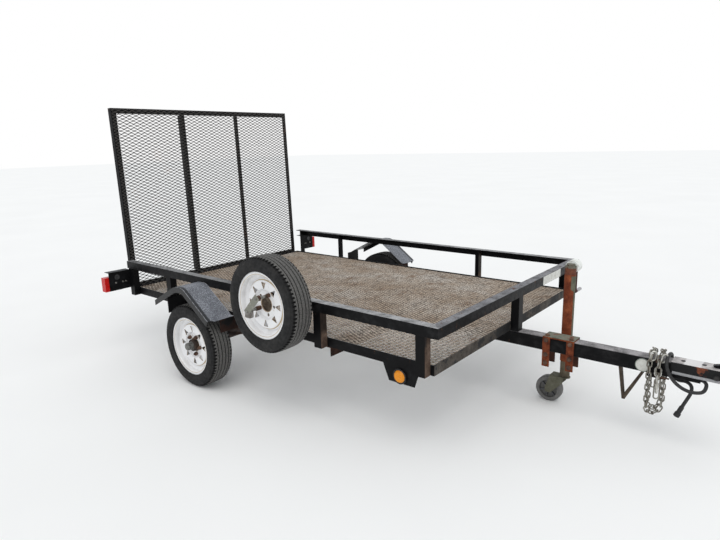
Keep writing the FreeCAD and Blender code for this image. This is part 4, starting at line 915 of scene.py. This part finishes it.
def blank_labels(material):
    """A blank label on the front rail and a blank round tag on the tongue's right side."""
    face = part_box("upper_rail_front")[1]
    shape = Mesh()
    plate(shape, Vector((face.x, at(0, 0.275, 0).y, face.z - 0.0495)), Vector((0, 0.267, 0)),
          Vector((0, 0, 0.048)), 0.0006)
    shape.make("blank_label", material)
    spot = having(at(3.2475, 0, 0.3645), y=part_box("tongue")[0].y)
    shape = Mesh()
    shape.prism(spot, RIGHTWARD, ring_outline(0.033, 40), [(0, 1), (0.0012, 1), (0.0016, 0.97)])
    shape.make("blank_tag", material)
    shape = Mesh()
    edge = [spot + Vector((u, -0.0016, v)) for u, v in ring_outline(0.0315, 40)]
    shape.tube(edge, 0.0016, 8, closed=True)
    rim = moulded("tag_rim_paint", (0.16, 0.19, 0.16), (0.3, 0.32, 0.27), 0.5)
    shape.make("tag_rim", rim)


def spare_lock(rust, sleeve, metal, olive):
    """Sleeves and nuts on the spare wheel's two studs, a flat bar over them, and a padlock."""
    middle = centre_of("spare_rim")
    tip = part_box("spare_carrier")[0].y
    studs = []
    for number in (0, 2):
        angle = lug_angle(number)
        studs.append(Vector((middle.x + LUG_CIRCLE * cos(angle), tip, middle.z + LUG_CIRCLE * sin(angle))))
    # Distances from the studs' tips towards the wheel
    sleeve_start, nut_start, bar_start = 0.11, 0.03, 0.01
    shape = Mesh()
    for stud, reach in zip(studs, (0.03, 0.046)):
        start = stud + Vector((0, sleeve_start, 0))
        shape.tube([start, start - Vector((0, reach, 0))], 0.0115, 16)
        hex_head(shape, start + Vector((0, 0.004, 0)), RIGHTWARD, 0.028, 0.012)
    shape.make("stud_sleeves", sleeve)
    shape = Mesh()
    for stud in studs:
        hex_head(shape, stud + Vector((0, nut_start, 0)), RIGHTWARD, 0.024, 0.014, 0.015)
    shape.make("stud_nuts", rust)
    first, second = studs
    reach = (second - first).normalized()
    wide = reach.cross(LEFTWARD).normalized() * 0.038
    shape = Mesh()
    corner = first - reach * 0.016 - wide / 2 + Vector((0, bar_start, 0))
    plate(shape, corner, (second - first) + reach * 0.034, wide, 0.004, 0.03)
    shape.make("lock_bar", olive)
    top = second + Vector((0.002, 0.018, 0.012))
    body = [(-0.018, -0.014), (0.018, -0.014), (0.021, -0.009), (0.021, 0.009), (0.018, 0.014),
            (-0.018, 0.014), (-0.021, 0.009), (-0.021, -0.009)]
    shape = Mesh()
    shape.prism(top + Vector((0, 0, -0.046)), UPWARD, body,
                [(0, 0.92), (0.003, 1), (0.031, 1), (0.034, 0.92)], AHEAD)
    arch = [top + Vector((0.012 * cos(a), 0, -0.012 + 0.017 * sin(a))) for a in half_turn(12)]
    shape.tube(arch, 0.0034, 10)
    shape.make("padlock", metal)


def jack_bolts(rust):
    """The bolts that hold the jack's straps to its plate, above and below the tongue."""
    low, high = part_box("jack_bracket")
    tongue_low, tongue_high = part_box("tongue")
    strap = 0.019
    places = (low.x + strap, high.x - strap)
    shape = Mesh()
    for x in places:
        for z in (tongue_high.z - 0.012, tongue_low.z - 0.016, low.z + 0.022):
            hex_head(shape, Vector((x, low.y, z)), RIGHTWARD, *BOLT)
    for x in places:
        hex_head(shape, Vector((x, tongue_low.y + 0.012, high.z)), UPWARD, *BOLT)
    shape.make("jack_bolts", rust)


def coupler_bolts(metal):
    """Two bolts down through the coupler's top and one through its side."""
    low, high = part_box("coupler")
    shape = Mesh()
    for x in (3.41, 3.494):
        shape.prism(having(at(x, 0, 0), z=high.z), UPWARD, ring_outline(0.0095, 24),
                    [(0, 1), (0.0012, 1), (0.0016, 0.8)])
    hex_head(shape, having(at(3.5506, 0, 0.3766), y=low.y + 0.0002), RIGHTWARD, 0.019, 0.008, 0.0125)
    shape.make("coupler_bolts", metal)


# How far out, and how high, the studs and the plug of a tail lamp's shelf are
STUD_PLACES = ((0.9758, 0.5176), (0.9223, 0.5161), (0.9012, 0.5162))
PLUG_PLACE = (0.9607, 0.5548)
LAMP_WALL = 0.0032


def lamp_studs(metal, dark):
    """A blanked wiring hole, and the ends of three studs through each tail lamp's shelf."""
    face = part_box("tail_lamps")[1].x + LAMP_WALL
    for sign, side in ((-1, "right"), (1, "left")):
        shape = Mesh()
        for out, height in STUD_PLACES:
            hex_head(shape, having(at(0, sign * out, height), x=face), AHEAD, 0.011, 0.006, 0.0, 0.008)
        shape.make("lamp_studs_" + side, metal)
        shape = Mesh()
        out, height = PLUG_PLACE
        shape.prism(having(at(0, sign * out, height), x=face), AHEAD, ring_outline(0.019, 28),
                    [(0, 1), (0.003, 1), (0.0045, 0.86), (0.0045, 0.7), (0.003, 0.62)])
        shape.make("lamp_plug_" + side, dark)


def spring_bolts(rust):
    """The axle's U-bolts round each leaf spring."""
    low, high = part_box("leaf_springs")
    axle = centre_of("axle")
    wire, half = 0.0055, 0.028
    shape = Mesh()
    for y in (low.y + 0.022, high.y - 0.022):
        for x in (axle.x - 0.045, axle.x + 0.045):
            for side in (-half, half):
                foot, seat, tip = (Vector((x, y + side, axle.z + z)) for z in (-0.04, 0.062, 0.078))
                shape.tube([foot, tip], wire, 10)
                hex_head(shape, seat, UPWARD, 0.019, 0.01)
            arch = [Vector((x, y + half * cos(a), axle.z - 0.036 - 0.01 * sin(a))) for a in half_turn(8)]
            shape.tube(arch, wire, 10)
    shape.make("spring_bolts", rust)


# The finishes of the nodes that stay


def dress(names, material):
    for name in names.split():
        data = nodes[name].data
        data.materials.clear()
        data.materials.append(material)


def dress_frame():
    dress("lower_rail_right lower_rail_left lower_rail_rear floor_bearers",
          black_paint("lower_frame_paint", 0.64, 0.55))
    dress("lower_rail_front", bare_rust("front_sill_paint", (0.03, 0.024, 0.019), (0.058, 0.048, 0.039),
                                        (0.115, 0.098, 0.08), 0.5, (0.006, 0.006, 0.0064)))
    # The pale colours of the rails and the tongue are dust, bleached paint and painted sky sheen on their
    # tops
    dress("upper_rail_right upper_rail_left",
          black_paint("rail_paint", 0.65, 1.0, 0.3, (0.5, 0.5, 0.51),
                      (at(1.2, 0, 0).x, at(1.9, 0, 0).x)))
    dress("upper_rail_front", black_paint("front_rail_paint", 0.59, 1.0, 0.3, (0.32, 0.32, 0.34)))
    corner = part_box("posts_right")[1].x
    dress("posts_right posts_left post_front",
          post_paint("post_paint", corner - 0.06, corner + 0.01, at(1.917, 0, 0).x))
    dress("tongue_skid", bare_rust("skid_steel", (0.022, 0.014, 0.01), (0.055, 0.038, 0.024),
                                   (0.105, 0.08, 0.05)))
    dress("tongue chain_anchor", black_paint("tongue_paint", 0.67, 1.0, 0.34, (0.46, 0.44, 0.45)))
    dress("tongue_bearer fender_brackets", bracket_steel("bracket_paint", centre_of("axle").x))
    dress("coupler", coupler_paint("coupler_paint", at(3.491, 0, 0.398)))
    dress("coupler_latch", black_paint("latch_paint", 0.6, 0.5))
    dress("axle leaf_springs spring_hangers",
          bare_rust("axle_rust", (0.018, 0.013, 0.011), (0.045, 0.026, 0.019), (0.1, 0.052, 0.032), 0.52,
                    (0.014, 0.014, 0.015)))
    for side, sign in (("right", -1), ("left", 1)):
        fender = "fender_" + side
        dress(fender,
              fender_paint("fender_paint_" + side, centre_of(fender).y, span_of(fender).y / 2, sign))
    dress("lamp_brackets", black_paint("lamp_bracket_paint", 0.68, 0.3))
    dress("tail_lamps", lens("red_lens", (0.42, 0.002, 0.002), (0.64, 0.006, 0.004), 0.006,
                             shelf=span_of("lamp_brackets").y / 2))
    dress("marker_lamps", lens("amber_lens", (0.68, 0.2, 0.004), (0.86, 0.33, 0.01), 0.004,
                               centre_of("marker_lamps"), 0.03))
    dress("gate_stiles gate_rails gate_bars", black_paint("gate_paint", 0.62, 0.4))
    dress("gate_hinges", rusty_brown("hinge_rust"))
    axis = centre_of("jack_tube")
    dress("jack_tube", jack_tube_paint("jack_tube_paint", axis))
    dress("jack_bracket", clamp_paint("clamp_paint"))
    dress("jack_head", jack_head_paint("jack_head_paint", axis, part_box("jack_head")[1].z - 0.034))
    dress("jack_leg",
          bare_rust("leg_steel", (0.06, 0.048, 0.03), (0.11, 0.088, 0.055), (0.17, 0.135, 0.085)))
    dress("caster_fork",
          bare_rust("fork_paint", (0.072, 0.07, 0.046), (0.11, 0.106, 0.074), (0.17, 0.165, 0.13)))
    dress("caster_wheel", moulded("caster_plastic", (0.118, 0.115, 0.112), (0.22, 0.21, 0.2), 0.55, 260))
    dress("spare_carrier", carrier_paint("carrier_paint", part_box("spare_carrier")[0].y))


def dress_wheel(side, rim, tyre_node, body):
    """One wheel's rim finish and its treaded tyre."""
    dress(rim, wheel_paint("wheel_paint_" + side, centre_of(rim), span_of(rim).z / 2))
    tyre(tyre_node, body, rubber("rubber_" + side, centre_of(rim), span_of(tyre_node).z / 2))


def dress_wheels():
    for side, sign in (("right", -1), ("left", 1)):
        body = side + "_wheel"
        dress_wheel(side, "rim_" + side, "tyre_" + side, body)
        dress("hub_" + side,
              hub_steel("hub_steel_" + side, centre_of("rim_" + side).y + sign * 0.046, sign))
        lug_nuts("lug_nuts_" + side, "rim_" + side, body, sign, rusty_brown("lug_rust_" + side))
    dress_wheel("spare", "spare_rim", "spare_tyre", "chassis")


# The stage


def floor():
    """A plain white floor, evenly lit, that keeps the trailer's shadow."""
    mat = Finish("studio_floor")
    tone = mat.ramp(mat.noise(0.7, 3), (0.3, (0.905, 0.905, 0.9)), (0.7, (0.93, 0.93, 0.925)))
    mat.set(Base_Color=tone, Roughness=0.9, Specular_IOR_Level=0.0)
    mesh = bpy.data.meshes.new("studio_floor")
    reach = 60.0
    level = GROUND - 0.0005
    corners = [(x * reach, y * reach, level) for x, y in ((-1, -1), (1, -1), (1, 1), (-1, 1))]
    mesh.from_pydata(corners, [], [(0, 1, 2, 3)])
    mesh.materials.append(mat.material)
    placed("studio_floor", mesh)


# The sky and the white that the camera sees, each as (colour, strength), and the sun
SKY = ((0.95, 0.975, 1.0, 1), 0.84)
WHITE = ((1.0, 1.0, 1.0, 1), 1.0)
SUN = {"energy": 0.75, "angle": radians(50), "color": (1.0, 0.98, 0.94)}
SUN_WAY = Vector((-0.3, 0.42, -1.0))


def lights():
    """A cool even sky, which the camera sees as white, and one wide soft sun."""
    world = bpy.data.worlds.new("studio")
    bpy.context.scene.world = world
    world.use_nodes = True
    tree = world.node_tree
    sky = tree.nodes["Background"]
    white = tree.nodes.new("ShaderNodeBackground")
    for shade, (colour, strength) in ((sky, SKY), (white, WHITE)):
        shade.inputs["Color"].default_value = colour
        shade.inputs["Strength"].default_value = strength
    rays = tree.nodes.new("ShaderNodeLightPath")
    mix = tree.nodes.new("ShaderNodeMixShader")
    sources = (rays.outputs["Is Camera Ray"], sky.outputs[0], white.outputs[0])
    for output, socket in zip(sources, mix.inputs):
        tree.links.new(output, socket)
    tree.links.new(mix.outputs[0], tree.nodes["World Output"].inputs[0])
    sun = placed("sun", having(bpy.data.lights.new("sun", "SUN"), **SUN))
    sun.rotation_euler = SUN_WAY.to_track_quat("-Z", "Y").to_euler()


camera()
cord = wiring()
connector = plug()
lights()
floor()
bpy.context.scene.view_settings.view_transform = "Standard"
dress_frame()
dress_wheels()
floor_mesh()
gate_mesh()
zinc = galvanised("zinc")
chain_links(galvanised("chain_zinc", (0.34, 0.33, 0.29), (0.17, 0.155, 0.13), 0.56))
small_rust = rusty_brown("bolt_rust")
chain_fittings(galvanised("bright_zinc", (0.66, 0.65, 0.61), (0.42, 0.41, 0.37), 0.66), small_rust)
coupler_lip(moulded("lip_paint", (0.28, 0.28, 0.29), (0.52, 0.52, 0.53), 0.5))
caster_ribs(moulded("rib_plastic", (0.07, 0.072, 0.08), (0.12, 0.12, 0.125), 0.55, 260))
blank_labels(pale_label("label"))
spare_lock(small_rust, rusty_brown("sleeve_rust"), zinc,
           moulded("lock_paint", (0.2, 0.2, 0.165), (0.42, 0.42, 0.37), 0.55))
jack_bolts(small_rust)
coupler_bolts(moulded("dark_heads", (0.012, 0.011, 0.011), (0.05, 0.045, 0.042), 0.6))
spring_bolts(small_rust)
lamp_studs(zinc, moulded("hole_plug", (0.016, 0.016, 0.017), (0.07, 0.07, 0.072), 0.5))
